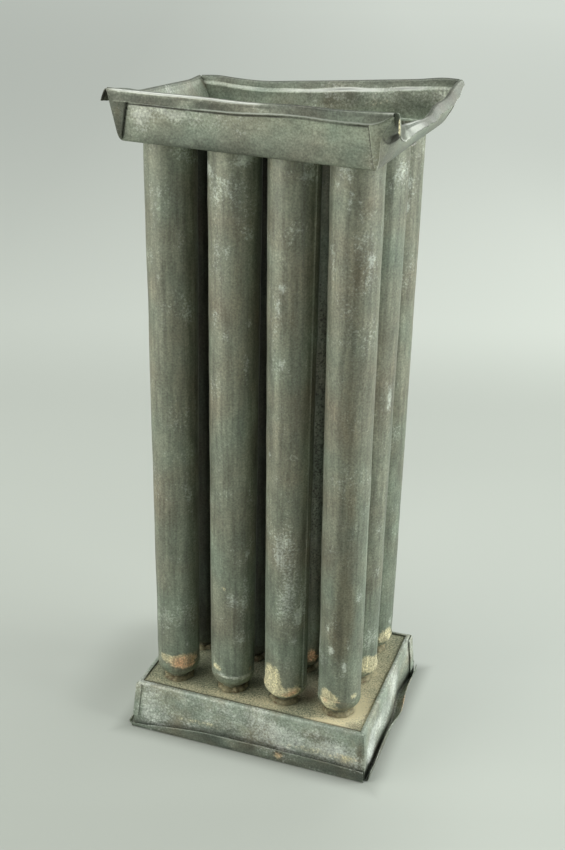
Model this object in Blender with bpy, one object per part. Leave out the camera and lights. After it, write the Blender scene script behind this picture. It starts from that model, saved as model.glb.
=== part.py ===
"""Tinplate candle mould with twelve tubes in three rows of four.

A folded pan at the top takes the hot tallow or wax and opens into twelve tapered barrels.
Each barrel ends in a rounded tip whose nozzle goes through the base plate, where the wick is drawn in.
The base plate sits under the turned-in lip of a flared skirt that stands on the table.
Everything is thin tinned sheet, joined with soft solder.  Units are metres, +Z is up.
The origin is on the table, at the middle of the foot.
"""

import math

import bmesh
import bpy

MM = 0.001

# Stock and clearances
SHEET = 0.4 * MM
GAP = 0.3 * MM
FACET_ROOM = 0.1 * MM

# Tube pattern
COLUMNS = 4
ROW_NAMES = ("front", "middle", "back")
TUBE_GAP_X = 4.3 * MM
TUBE_GAP_Y = 5.3 * MM

# Heights
HEIGHT = 282 * MM
BASE_HEIGHT = 21.5 * MM
TRAY_DEPTH = 20 * MM

# Barrels: rolled and lapped sheet, widest at the mouth
MOUTH_RADIUS = 10.1 * MM
BARREL_TAPER = 0.95 * MM
MOUTH_PROUD = 0.8 * MM
LAP_WIDTH = 3.0 * MM
LAP_FADE_DEG = 20
LAP_STEP_DEG = 1
BARREL_POINTS = 28
# Heading of each lapped seam, seen from above, row by row from the front
SEAM_HEADINGS_DEG = (
    (150, 200, -35, 100),
    (60, 250, 120, 160),
    (100, 60, 130, 200),
)

# Tips: a collar inside the barrel, a rounded shoulder, a neck, and a nozzle under the plate
COLLAR_HEIGHT = 4.0 * MM
COLLAR_CLEARANCE = 0.35 * MM
SHOULDER_HEIGHT = 4.5 * MM
SHOULDER_ARC_DEG = (0, 32, 62, 90)
SHOULDER_INSIDE_ARC_DEG = (0, 50, 90)
NECK_HEIGHT = 4.0 * MM
NECK_RADIUS = 5.0 * MM
NECK_TAPER = 0.3 * MM
NOZZLE_LENGTH = 7.0 * MM
NOZZLE_END_RADIUS = 2.6 * MM
WICK_HOLE_RADIUS = 1.2 * MM
TIP_SEGMENTS = 18

# Solder fillets
MOUTH_FILLET_WIDTH = 1.2 * MM
MOUTH_FILLET_HEIGHT = 0.7 * MM
NECK_FILLET_WIDTH = 2.0 * MM
NECK_FILLET_HEIGHT = 1.6 * MM
FILLET_SEGMENTS = 18

# Top tray: a pan folded from one sheet
TRAY_MARGIN_X = 2.6 * MM
TRAY_MARGIN_Y = 5.4 * MM
TRAY_FLARE_X = 5.4 * MM
TRAY_FLARE_Y = 2.7 * MM
TRAY_BEND_RADIUS = 0.9 * MM
TRAY_HEM_WIDTH = 5.0 * MM
TRAY_HEM_LEAN_X_DEG = 30
TRAY_HEM_LEAN_Y_DEG = 2
WEB_WIDTH = 8.0 * MM
WEB_RISE = 0.25 * MM
MOUTH_HOLE_SEGMENTS = 24

# Base: a perforated plate under the lip of a skirt
BASE_MARGIN_X = 4.5 * MM
BASE_MARGIN_Y = 3.6 * MM
NECK_HOLE_SEGMENTS = 18
LIP_WIDTH = 1.8 * MM
LIP_OVERLAP = 1.0 * MM
SKIRT_FLARE_X = 2.0 * MM
SKIRT_FLARE_Y = 2.0 * MM
SKIRT_BEND_RADIUS = 1.0 * MM
SKIRT_HEM_WIDTH = 4.6 * MM
SKIRT_HEM_LEAN_X_DEG = 14
SKIRT_HEM_LEAN_Y_DEG = 12
CORNER_TAB_WIDTH = 3.5 * MM
CORNER_TAB_RISE = 0.4 * MM

# Every hem turns round this inside radius, with a flat facet along its crest
HEM_BEND_RADIUS = 0.7 * MM
HEM_ARC_DEG = (145, 110, 70, 35)
HEM_CREST_DEG = 70

# Sizes that follow from the ones above
SHOULDER_RADIUS = MOUTH_RADIUS - BARREL_TAPER
PITCH_X = 2 * MOUTH_RADIUS + TUBE_GAP_X
PITCH_Y = 2 * MOUTH_RADIUS + TUBE_GAP_Y
SPAN_X = PITCH_X * (COLUMNS - 1) / 2
SPAN_Y = PITCH_Y * (len(ROW_NAMES) - 1) / 2
NECK_TOP = BASE_HEIGHT + NECK_HEIGHT
BARREL_FOOT = NECK_TOP + SHOULDER_HEIGHT
TRAY_FLOOR = HEIGHT - TRAY_DEPTH
TRAY_FLOOR_TOP = TRAY_FLOOR + SHEET
BARREL_MOUTH = TRAY_FLOOR_TOP + MOUTH_PROUD
TRAY_HALF_X = SPAN_X + MOUTH_RADIUS + TRAY_MARGIN_X
TRAY_HALF_Y = SPAN_Y + MOUTH_RADIUS + TRAY_MARGIN_Y
LIP_HALF_X = SPAN_X + SHOULDER_RADIUS + BASE_MARGIN_X
LIP_HALF_Y = SPAN_Y + SHOULDER_RADIUS + BASE_MARGIN_Y
MOUTH_HOLE_RADIUS = MOUTH_RADIUS + SHEET + GAP + FACET_ROOM
NECK_AT_PLATE = NECK_RADIUS - NECK_TAPER
NECK_HOLE_RADIUS = NECK_AT_PLATE + GAP + FACET_ROOM
SKIRT_HEIGHT = BASE_HEIGHT + GAP + SHEET


def new_object(name, mesh_builder, colour, roughness):
    """Make a mesh object of the given name from a bmesh, with its own tin finish."""
    bmesh.ops.recalc_face_normals(mesh_builder, faces=mesh_builder.faces)
    mesh = bpy.data.meshes.new(name)
    mesh_builder.to_mesh(mesh)
    mesh_builder.free()
    mesh.shade_smooth()
    mesh.set_sharp_from_angle(angle=math.radians(30))
    obj = bpy.data.objects.new(name, mesh)
    bpy.context.scene.collection.objects.link(obj)
    material = bpy.data.materials.new(name)
    material.use_nodes = True
    shader = material.node_tree.nodes["Principled BSDF"]
    shader.inputs["Base Color"].default_value = (*colour, 1)
    shader.inputs["Roughness"].default_value = roughness
    shader.inputs["Metallic"].default_value = 0.9
    mesh.materials.append(material)
    return obj


TIN = (0.30, 0.32, 0.28)
SOLDER = (0.42, 0.40, 0.34)


def new_cutter(name, mesh_builder):
    """Make a hidden object that a Boolean uses."""
    cutter = new_object(name, mesh_builder, TIN, 0.5)
    cutter.hide_render = True
    cutter.display_type = "WIRE"
    return cutter


def apply_boolean(obj, other, operation):
    """Add an exact Boolean of obj with other."""
    modifier = obj.modifiers.new(operation.lower(), "BOOLEAN")
    modifier.operation = operation
    modifier.solver = "EXACT"
    modifier.object = other


def tube_places():
    """Give the row name, the row and column numbers, and the middle of each tube."""
    for row, row_name in enumerate(ROW_NAMES):
        for column in range(COLUMNS):
            x = column * PITCH_X - SPAN_X
            y = row * PITCH_Y - SPAN_Y
            yield row_name, row, column, x, y


# Sheet folding


def hook(start_out, start_z, lean_deg, width):
    """Give the two faces of a hem in its own cross-section, as lists of (out, height).

    The wall's outer face comes up to (start_out, start_z).  The hem turns over a bend that is centred
    one bend radius outside it, then runs straight, leaning outwards from the vertical by lean_deg.
    """
    centre = start_out + HEM_BEND_RADIUS
    angles = [math.radians(a) for a in (*HEM_ARC_DEG, lean_deg)]
    lean = math.radians(lean_deg)
    crest = (HEM_BEND_RADIUS + SHEET) * math.sin(math.radians(HEM_CREST_DEG))
    bend_end = (HEM_BEND_RADIUS + SHEET) * math.sin(lean)
    run = (width - crest + bend_end) / math.cos(lean)
    faces = []
    for radius in (HEM_BEND_RADIUS, HEM_BEND_RADIUS + SHEET):
        face = [(centre + radius * math.cos(a), start_z + radius * math.sin(a)) for a in angles]
        out, height = face[-1]
        face.append((out + run * math.sin(lean), height - run * math.cos(lean)))
        faces.append(face)
    return faces


def folded_walls(builder, half_x, half_y, depth, flare_x, flare_y, bend, lip, hem_width, lean_x, lean_y):
    """Fold four flared walls with open-ended outward hems, in a frame where the floor is at height 0.

    half_x and half_y are the outside of the walls where they meet the floor, and depth is the height of
    the hem's crest.  The floor's edge is drawn in by lip from there.  Returns the corner rings of the
    floor's outer and inner face, so that a floor can close them.
    """
    crest = (HEM_BEND_RADIUS + SHEET) * math.sin(math.radians(HEM_CREST_DEG))
    wall_top = depth - crest
    turn = math.radians(45)
    inner = bend - SHEET

    def flared(flare, height):
        return flare * height / depth

    def shared_levels(flare):
        outer_face = [
            (-lip, 0),
            (-bend, 0),
            (bend * (math.sin(turn) - 1), bend * (1 - math.cos(turn))),
            (flared(flare, bend), bend),
            (flared(flare, wall_top), wall_top),
        ]
        inner_face = [
            (-lip, SHEET),
            (-bend, SHEET),
            (inner * math.sin(turn) - bend, bend - inner * math.cos(turn)),
            (flared(flare, bend) - SHEET, bend),
            (flared(flare, wall_top) - SHEET, wall_top),
        ]
        return outer_face, inner_face

    corners = ((-1, -1), (1, -1), (1, 1), (-1, 1))
    rings = []
    for face_x, face_y in zip(shared_levels(flare_x), shared_levels(flare_y)):
        face_rings = []
        for (out_x, height), (out_y, _) in zip(face_x, face_y):
            ring = [
                builder.verts.new((sx * (half_x + out_x), sy * (half_y + out_y), height))
                for sx, sy in corners
            ]
            face_rings.append(ring)
        rings.append(face_rings)
    outer_rings, inner_rings = rings
    for face_rings in rings:
        for lower, upper in zip(face_rings, face_rings[1:]):
            for side in range(4):
                after = (side + 1) % 4
                builder.faces.new((lower[side], lower[after], upper[after], upper[side]))

    # Each side's hem starts on the shared wall top and has square ends just inside the corner
    for side in range(4):
        after = (side + 1) % 4
        along_x = side % 2 == 0
        flare, lean = (flare_y, lean_y) if along_x else (flare_x, lean_x)
        end_flare, end_half = (flare_x, half_x) if along_x else (flare_y, half_y)
        half = half_y if along_x else half_x
        end = end_half + flared(end_flare, wall_top) - SHEET
        outward = (-1, 1, 1, -1)[side]
        ends = ((-1, 1), (-1, 1), (1, -1), (1, -1))[side]
        rows_by_face = []
        for face, ring in zip(hook(flared(flare, wall_top), wall_top, lean, hem_width),
                              (outer_rings[-1], inner_rings[-1])):
            rows = [(ring[side], ring[after])]
            for out, height in face:
                across = outward * (half + out)
                if along_x:
                    places = [(e * end, across, height) for e in ends]
                else:
                    places = [(across, e * end, height) for e in ends]
                rows.append(tuple(builder.verts.new(p) for p in places))
            for (a, b), (c, d) in zip(rows, rows[1:]):
                builder.faces.new((a, b, d, c))
            rows_by_face.append(rows)
        outer_rows, inner_rows = rows_by_face
        builder.faces.new((*outer_rows[-1], *reversed(inner_rows[-1])))
        for end_index in range(2):
            for near, far in zip(zip(outer_rows, inner_rows), zip(outer_rows[1:], inner_rows[1:])):
                builder.faces.new(
                    (near[0][end_index], near[1][end_index], far[1][end_index], far[0][end_index])
                )
    return outer_rings[0], inner_rings[0]


def wall_flaps(half_x, half_y, depth, flare_x, flare_y, levels):
    """Build four flaps laid on the outside of the long walls, one at each corner.

    Each flap follows the flared wall.  Its levels are (height, width, stand): how far it reaches from
    the corner and how far it stands out from the wall there.  It is rooted inside the wall's sheet.
    """
    builder = bmesh.new()
    inset = SHEET / 3
    for sx in (-1, 1):
        for sy in (-1, 1):
            rings = []
            for height, width, stand in levels:
                corner = half_x + flare_x * height / depth - inset
                wall = half_y + flare_y * height / depth
                outline = [
                    (corner, wall - SHEET / 2),
                    (corner - width, wall - SHEET / 2),
                    (corner - width, wall + stand),
                    (corner, wall + stand),
                ]
                rings.append([builder.verts.new((sx * x, sy * y, height)) for x, y in outline])
            builder.faces.new(rings[0])
            builder.faces.new(rings[-1])
            for lower, upper in zip(rings, rings[1:]):
                for i in range(4):
                    j = (i + 1) % 4
                    builder.faces.new((lower[i], lower[j], upper[j], upper[i]))
    return builder


def hole_cylinders(radius, segments, low, high):
    """Build one cylinder through each tube's place."""
    builder = bmesh.new()
    for _, _, _, x, y in tube_places():
        made = bmesh.ops.create_cone(
            builder, cap_ends=True, segments=segments, radius1=radius, radius2=radius, depth=high - low
        )
        bmesh.ops.translate(builder, verts=made["verts"], vec=(x, y, (low + high) / 2))
    return builder


def lift(builder, height):
    """Move everything in the builder up."""
    bmesh.ops.translate(builder, verts=builder.verts, vec=(0, 0, height))


def turn_over(builder, height):
    """Stand the builder's content on its head, with what was its floor at the given height."""
    for vert in builder.verts:
        vert.co.z = height - vert.co.z


# Top tray


def build_top_tray():
    """Fold the pan, lay its corner webs on the long walls, and cut the twelve mouths."""
    builder = bmesh.new()
    outer, inner = folded_walls(
        builder, TRAY_HALF_X, TRAY_HALF_Y, TRAY_DEPTH, TRAY_FLARE_X, TRAY_FLARE_Y, TRAY_BEND_RADIUS,
        TRAY_BEND_RADIUS + SHEET, TRAY_HEM_WIDTH, TRAY_HEM_LEAN_X_DEG, TRAY_HEM_LEAN_Y_DEG,
    )
    builder.faces.new(outer)
    builder.faces.new(inner)
    lift(builder, TRAY_FLOOR)
    tray = new_object("top_tray", builder, TIN, 0.5)

    web_face = 2 * HEM_BEND_RADIUS + SHEET + WEB_RISE
    web_full = TRAY_DEPTH - HEM_BEND_RADIUS - SHEET
    web_levels = (
        (TRAY_BEND_RADIUS, WEB_WIDTH * TRAY_BEND_RADIUS / web_full, 2 * SHEET),
        (web_full, WEB_WIDTH, web_face),
        (TRAY_DEPTH - SHEET, WEB_WIDTH, HEM_BEND_RADIUS),
    )
    webs = wall_flaps(TRAY_HALF_X, TRAY_HALF_Y, TRAY_DEPTH, TRAY_FLARE_X, TRAY_FLARE_Y, web_levels)
    lift(webs, TRAY_FLOOR)
    apply_boolean(tray, new_cutter("tray_webs", webs), "UNION")
    low = TRAY_FLOOR - SHEET
    holes = hole_cylinders(MOUTH_HOLE_RADIUS, MOUTH_HOLE_SEGMENTS, low, TRAY_FLOOR_TOP + SHEET)
    apply_boolean(tray, new_cutter("tray_holes", holes), "DIFFERENCE")


# Base


def build_base_skirt():
    """Fold the flared skirt, with a lip turned in over the plate and lapped tabs at its corners."""
    builder = bmesh.new()
    half_x = LIP_HALF_X + LIP_WIDTH
    half_y = LIP_HALF_Y + LIP_WIDTH
    outer, inner = folded_walls(
        builder, half_x, half_y, SKIRT_HEIGHT, SKIRT_FLARE_X, SKIRT_FLARE_Y, SKIRT_BEND_RADIUS, LIP_WIDTH,
        SKIRT_HEM_WIDTH, SKIRT_HEM_LEAN_X_DEG, SKIRT_HEM_LEAN_Y_DEG,
    )
    for side in range(4):
        after = (side + 1) % 4
        builder.faces.new((outer[side], outer[after], inner[after], inner[side]))
    turn_over(builder, SKIRT_HEIGHT)
    skirt = new_object("base_skirt", builder, TIN, 0.55)

    tab_levels = (
        (SKIRT_BEND_RADIUS, CORNER_TAB_WIDTH, CORNER_TAB_RISE),
        (SKIRT_HEIGHT - SKIRT_HEM_WIDTH - SHEET, CORNER_TAB_WIDTH, CORNER_TAB_RISE),
    )
    tabs = wall_flaps(half_x, half_y, SKIRT_HEIGHT, SKIRT_FLARE_X, SKIRT_FLARE_Y, tab_levels)
    turn_over(tabs, SKIRT_HEIGHT)
    apply_boolean(skirt, new_cutter("skirt_tabs", tabs), "UNION")


def build_base_plate():
    """Cut the flat plate that lies under the skirt's lip, with a hole for each nozzle."""
    builder = bmesh.new()
    size_x = 2 * (LIP_HALF_X + LIP_OVERLAP)
    size_y = 2 * (LIP_HALF_Y + LIP_OVERLAP)
    made = bmesh.ops.create_cube(builder, size=1)
    bmesh.ops.scale(builder, verts=made["verts"], vec=(size_x, size_y, SHEET))
    lift(builder, BASE_HEIGHT - SHEET / 2)
    plate = new_object("base_plate", builder, TIN, 0.6)
    low = BASE_HEIGHT - 2 * SHEET
    holes = hole_cylinders(NECK_HOLE_RADIUS, NECK_HOLE_SEGMENTS, low, BASE_HEIGHT + SHEET)
    apply_boolean(plate, new_cutter("plate_holes", holes), "DIFFERENCE")


# Tubes


def barrel_angles():
    """Give the angles round a barrel, from the lap's edge: the lap, its fade, then even steps."""
    lap = math.degrees(LAP_WIDTH / MOUTH_RADIUS)
    fade = lap + LAP_FADE_DEG
    plain = BARREL_POINTS - 3
    step = (360 - LAP_STEP_DEG - fade) / plain
    return [0, lap, fade] + [fade + step * (i + 1) for i in range(plain)]


def build_barrel(name, x, y, seam_deg):
    """Roll one tapered barrel, with the outer layer of its lap standing a sheet proud."""
    builder = bmesh.new()
    angles = [math.radians(seam_deg + a) for a in barrel_angles()]
    raised = [SHEET, SHEET] + [0] * (len(angles) - 2)
    levels = (
        (SHOULDER_RADIUS, BARREL_FOOT, 1),
        (MOUTH_RADIUS, BARREL_MOUTH, 1),
        (MOUTH_RADIUS - SHEET, BARREL_MOUTH, 0),
        (SHOULDER_RADIUS - SHEET, BARREL_FOOT, 0),
    )
    rings = []
    for radius, height, has_lap in levels:
        ring = []
        for angle, rise in zip(angles, raised):
            reach = radius + rise * has_lap
            ring.append(builder.verts.new((reach * math.cos(angle), reach * math.sin(angle), height)))
        rings.append(ring)
    for lower, upper in zip(rings, rings[1:] + rings[:1]):
        for i in range(len(angles)):
            j = (i + 1) % len(angles)
            builder.faces.new((lower[i], lower[j], upper[j], upper[i]))
    barrel = new_object(name, builder, TIN, 0.5)
    barrel.location = (x, y, 0)


def spin_profile(points, segments):
    """Turn a closed outline of (radius, height) points round the Z axis."""
    builder = bmesh.new()
    verts = [builder.verts.new((radius, 0, height)) for radius, height in points]
    edges = [builder.edges.new((a, b)) for a, b in zip(verts, verts[1:] + verts[:1])]
    bmesh.ops.spin(
        builder, geom=verts + edges, cent=(0, 0, 0), axis=(0, 0, 1), angle=2 * math.pi, steps=segments,
        use_merge=True, use_duplicate=False,
    )
    return builder


def arc(centre_radius, centre_height, reach, drop, degrees_down):
    """Give points of a quarter turn at the given angles, from straight out to straight down."""
    points = []
    for degrees in degrees_down:
        angle = math.radians(degrees)
        points.append((centre_radius + reach * math.cos(angle), centre_height - drop * math.sin(angle)))
    return points


def build_tip(name, x, y):
    """Spin one tip: collar, shoulder, neck and nozzle, all of the same thin sheet."""
    collar = SHOULDER_RADIUS - SHEET - COLLAR_CLEARANCE
    ledge = BARREL_FOOT - GAP
    drop = ledge - NECK_TOP
    nozzle_end = BASE_HEIGHT - NOZZLE_LENGTH
    collar_top = BARREL_FOOT + COLLAR_HEIGHT
    outline = [(collar, collar_top), (collar, ledge)]
    outline += arc(NECK_RADIUS, ledge, SHOULDER_RADIUS - NECK_RADIUS, drop, SHOULDER_ARC_DEG)
    outline += [
        (NECK_AT_PLATE, BASE_HEIGHT - SHEET),
        (NOZZLE_END_RADIUS, nozzle_end),
        (WICK_HOLE_RADIUS, nozzle_end),
        (NOZZLE_END_RADIUS - SHEET, nozzle_end + SHEET),
        (NECK_AT_PLATE - SHEET, BASE_HEIGHT),
    ]
    inside = arc(NECK_RADIUS - SHEET, ledge, collar - NECK_RADIUS, drop - SHEET, SHOULDER_INSIDE_ARC_DEG)
    outline += reversed(inside)
    outline.append((collar - SHEET, collar_top))
    tip = new_object(name, spin_profile(outline, TIP_SEGMENTS), TIN, 0.5)
    tip.location = (x, y, 0)


def build_fillet(name, x, y, height, inner_radius, width, rise):
    """Spin one ring of solder with a sloping face."""
    outline = [(inner_radius, height), (inner_radius + width, height), (inner_radius, height + rise)]
    fillet = new_object(name, spin_profile(outline, FILLET_SEGMENTS), SOLDER, 0.6)
    fillet.location = (x, y, 0)


def build_mould():
    """Make every piece of the mould."""
    build_top_tray()
    build_base_skirt()
    build_base_plate()
    room = min((min(TUBE_GAP_X, TUBE_GAP_Y) - GAP) / 2, TRAY_MARGIN_X - TRAY_BEND_RADIUS)
    mouth_width = min(MOUTH_FILLET_WIDTH, room - (MOUTH_HOLE_RADIUS - MOUTH_RADIUS))
    for row_name, row, column, x, y in tube_places():
        tube = f"{row_name}_{column + 1}"
        build_barrel(f"barrel_{tube}", x, y, SEAM_HEADINGS_DEG[row][column])
        build_tip(f"tip_{tube}", x, y)
        build_fillet(
            f"mouth_solder_{tube}", x, y, TRAY_FLOOR_TOP + GAP, MOUTH_HOLE_RADIUS, mouth_width,
            MOUTH_FILLET_HEIGHT,
        )
        build_fillet(
            f"tip_solder_{tube}", x, y, BASE_HEIGHT + GAP, NECK_RADIUS + GAP, NECK_FILLET_WIDTH,
            NECK_FILLET_HEIGHT,
        )


for old in list(bpy.data.objects):
    bpy.data.objects.remove(old, do_unlink=True)

build_mould()
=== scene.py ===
import math

import bmesh
import bpy
import numpy as np
from mathutils import Matrix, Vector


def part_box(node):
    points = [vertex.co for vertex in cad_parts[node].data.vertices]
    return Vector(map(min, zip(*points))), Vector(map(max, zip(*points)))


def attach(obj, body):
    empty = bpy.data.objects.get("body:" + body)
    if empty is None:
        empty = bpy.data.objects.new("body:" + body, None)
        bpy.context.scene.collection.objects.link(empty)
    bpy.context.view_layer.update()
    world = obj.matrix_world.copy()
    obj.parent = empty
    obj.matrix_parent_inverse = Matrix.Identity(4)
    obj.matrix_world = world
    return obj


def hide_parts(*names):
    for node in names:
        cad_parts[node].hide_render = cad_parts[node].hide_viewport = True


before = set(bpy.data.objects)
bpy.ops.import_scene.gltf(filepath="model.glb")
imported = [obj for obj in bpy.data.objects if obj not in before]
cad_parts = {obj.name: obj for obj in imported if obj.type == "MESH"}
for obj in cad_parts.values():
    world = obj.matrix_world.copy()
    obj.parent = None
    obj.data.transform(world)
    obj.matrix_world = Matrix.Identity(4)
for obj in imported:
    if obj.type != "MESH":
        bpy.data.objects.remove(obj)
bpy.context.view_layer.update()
scene = bpy.context.scene

# Barrels
# Twelve tapered tubes rolled from thin tinned sheet, widest at the mouth, each with a soldered lap
# seam up its side.  They are a little out of round, dented, and lean with the bent tray above.

MM = 0.001
SHEET = 0.4
TUBES = [f"{row}_{column}" for row in ("front", "middle", "back") for column in (1, 2, 3, 4)]
FOOT_RADIUS = 9.15
MOUTH_RADIUS = 10.1
BARREL_FOOT = 30
BARREL_LENGTH = 233
# Radius half way up, for lengths round the tube
MIDDLE_RADIUS = 9.6
BARREL_ROWS = 161
LAP_DEG = 17
LAP_FADE_DEG = 20
LAP_FILLET_DEG = 3.5
SEAM_HEADING_DEG = dict(zip(TUBES, (150, 200, -20, 100, 60, 250, 120, 160, 100, 60, 130, 200)))
# How far each mouth was pushed sideways as the tray was bent, and each foot as it was soldered
MOUTH_PUSH_X = dict(zip(TUBES, (-1.7, -0.1, -1.5, -2.3, -0.8, -0.6, -0.8, 0.0, 0.2, 0.3, 0.0, -0.4)))
FOOT_PUSH = {"front_1": (-1.1, -0.9)}
TRAY_FLOOR_HALF = (49.25, 40.8)
# The tray's floor corners went out of square: how far each moved, front left round to back left
FLOOR_CORNER_PUSH = np.array(((-1.9, 0, 0), (-4.0, 0.1, -1.7), (0, 0, 0), (0, 0, 0)))

# Stains are spots on a tube: heading in degrees, height, half width and half height in mm, strength.
# Bloom is white oxide, rust brown, crust cream wax and lime, scale orange, and pits eaten metal.
STAIN_KINDS = dict(zip(("bloom", "rust", "crust", "pits"), np.eye(4)), scale=np.array((0, 1, 1, 0)))
TUBE_STAINS = {
    "front_1": {
        "bloom": ((-100, 210, 1, 1.2, 1), (-49, 223, 2, 4, 0.5), (-45, 215, 1.5, 3, 0.4),
            (-31, 194, 2.5, 5, 0.5), (-38, 120, 2, 6, 0.4), (-27, 111, 2, 8, 0.4), (-64, 147, 5, 8, 0.3),
            (-41, 41.5, 1, 2, 0.8), (-110, 235, 4, 14, 0.3), (-85, 60, 8, 14, 0.25)),
        "crust": ((-112, 35, 3.2, 3.2, 0.8), (-62, 35, 6, 2.4, 0.7)),
        "scale": ((-48, 33.6, 7, 4, 1.2),),
        "rust": ((-60, 160, 5, 55, 0.3), (-60, 29, 6, 3, 0.5))},
    "front_2": {
        "bloom": ((-38, 230, 2.4, 3.5, 0.6), (-87, 223.4, 1.8, 3, 0.5), (-118, 224, 3, 8, 0.5),
            (-120, 196, 2.5, 6, 0.5), (-36, 195, 1.2, 1.5, 0.8), (-42, 175, 1.3, 8, 0.6),
            (-94, 189, 2, 2, 0.4), (-117, 242, 3.5, 8, 0.4), (-112, 131, 2.5, 5, 0.35),
            (-84, 122, 3, 3, 0.4), (-26, 120, 1, 5, 0.5), (-33, 93, 1, 1.6, 0.9), (-36, 80, 1.2, 9, 0.45),
            (-75, 71, 3.2, 3.6, 0.6), (-42, 66, 2.2, 10, 0.4), (-51, 51, 4, 9, 0.35),
            (-101, 32, 3, 1.2, 0.8), (-67, 31.5, 4, 1.2, 0.9), (-31, 31, 4, 1.2, 0.7)),
        "crust": ((-94, 76, 1.2, 1, 1),),
        "scale": ((-16, 34, 1.5, 2, 0.7),),
        "rust": ((-60, 215, 4, 30, 0.4), (-50, 170, 3, 25, 0.3), (-70, 26, 7, 3, 0.5))},
    "front_3": {
        "bloom": ((-93, 212, 1.6, 1.3, 0.8), (-105, 204, 1.2, 3, 0.6), (-110, 194, 3, 8, 0.35),
            (-93, 182, 1.6, 2, 0.5), (-126, 142, 1, 1, 0.6), (-97, 97, 3, 5, 0.4), (-79, 77, 5, 7, 0.4),
            (-41, 68, 1.6, 4, 1), (-29, 73, 1.5, 6, 0.7), (-67, 57, 5, 5, 0.3), (-51, 56, 2, 3, 0.6),
            (-51, 254, 2.4, 2.4, 0.5), (-80, 100, 6, 30, 0.3), (-60, 84, 4, 10, 0.3)),
        "crust": ((-119, 40, 5, 5.5, 0.95), (-127, 33.6, 4, 4.5, 1), (-100, 34, 3.5, 5, 0.8),
            (-86, 30, 6, 2.8, 0.85), (-40, 32.5, 3, 2.5, 0.5)),
        "scale": ((-48, 30.5, 3.4, 2.2, 0.6), (-69, 29, 3, 1.6, 0.5)),
        "rust": ((-70, 190, 5, 30, 0.35), (-60, 140, 5, 30, 0.3))},
    "front_4": {
        "bloom": ((-90, 256, 1.2, 1.5, 0.9), (-118, 253, 1, 1.5, 0.7), (-85, 250, 1, 1, 0.8),
            (-88, 247, 1, 1.2, 0.8), (-90, 244, 1, 1, 1), (-68, 248, 1.2, 1, 0.7), (-131, 225, 3, 9, 0.4),
            (-36, 226, 2, 2, 0.4), (-40, 220, 3, 8, 0.35), (-22, 203, 2.4, 6, 0.4), (-29, 82, 1.8, 3, 0.7),
            (-111, 67, 1.5, 2, 0.5), (-100, 57, 2, 2.4, 0.8), (-148, 58, 2, 9, 0.5), (-64, 50, 1, 3, 0.6),
            (-56, 59, 1, 4, 0.5), (-131, 50, 3, 4, 0.4)),
        "crust": ((-112, 34.6, 4, 2.8, 1), (-93, 33, 3.4, 2.2, 0.8), (-31, 33.5, 3, 1.8, 0.8),
            (-118, 30, 4, 3, 0.8), (-86, 28, 4, 2, 0.6)),
        "scale": ((-77, 32, 2, 1, 0.4),),
        "rust": ((-51, 245, 3, 4, 0.5), (-65, 222, 3, 7, 0.6), (-73, 200, 4, 18, 0.5),
            (-77, 163, 3.5, 20, 0.6), (-65, 129, 4, 16, 0.6), (-68, 80, 5, 30, 0.95), (-85, 62, 4, 14, 0.6),
            (-60, 27, 8, 3, 0.5))},
    "middle_2": {
        "scale": ((-157, 33.4, 4, 4, 0.6),),
        "pits": ((-157, 101, 8, 60, 0.6),)},
    "middle_3": {
        "scale": ((-50, 33, 5, 4, 0.85),),
        "rust": ((-48, 28, 6, 5, 0.6),),
        "pits": ((-56, 111, 9, 75, 1), (-56, 200, 9, 50, 0.6))},
    "middle_4": {
        "bloom": ((-38, 251, 2, 4, 0.3), (-20, 160, 1.5, 5, 0.8), (-34, 101, 2, 1.3, 0.6),
            (14, 85, 2, 4, 0.6), (-24, 80, 2, 4, 0.5), (-49, 49, 5, 6, 0.45)),
        "crust": ((-32, 33, 5, 4, 1), (-50, 35, 4, 4, 0.9), (-9, 32, 4, 4, 0.9))},
    "back_4": {
        "bloom": ((-52, 243, 1.5, 3, 0.6), (-50, 233, 1, 2, 1), (-14, 39, 2, 2.5, 0.9)),
        "crust": ((-30, 32, 7, 4.5, 1),)},
}


def smoothstep(value):
    """Ease from 0 to 1: 3 v squared less 2 v cubed, held at both ends."""
    v = np.clip(value, 0, 1)
    return v * v * (3 - 2 * v)


def waves(first, second, seed):
    """Give slow unevenness of about 1 either way: a sum of cosines of random heading and phase.

    first and second are distances divided by the wave length that the unevenness should have.
    """
    random = np.random.default_rng(seed)
    total = 0
    for _ in range(5):
        turn = random.uniform(0, 2 * np.pi)
        pace = random.uniform(0.6, 1.7)
        phase = random.uniform(0, 2 * np.pi)
        total = total + np.cos(2 * np.pi * pace * (first * np.cos(turn) + second * np.sin(turn)) + phase)
    return total / math.sqrt(10)


def grid_faces(rows, columns, close_rows, close_columns):
    """Join each point of a grid, numbered row by row, to the next both ways, wrapping where closed."""
    row = np.arange(rows if close_rows else rows - 1)[:, None]
    column = np.arange(columns if close_columns else columns - 1)
    next_row = (row + 1) % rows * columns
    next_column = (column + 1) % columns
    corners = (row * columns + column, row * columns + next_column, next_row + next_column, next_row + column)
    return np.stack(corners, -1).reshape(-1, 4)


def put_in_scene(name, mesh, sharp_deg):
    """Shade a mesh smooth except at sharp edges and link an object that holds it."""
    mesh.shade_smooth()
    mesh.set_sharp_from_angle(angle=math.radians(sharp_deg))
    piece = bpy.data.objects.new(name, mesh)
    scene.collection.objects.link(piece)
    return piece


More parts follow.
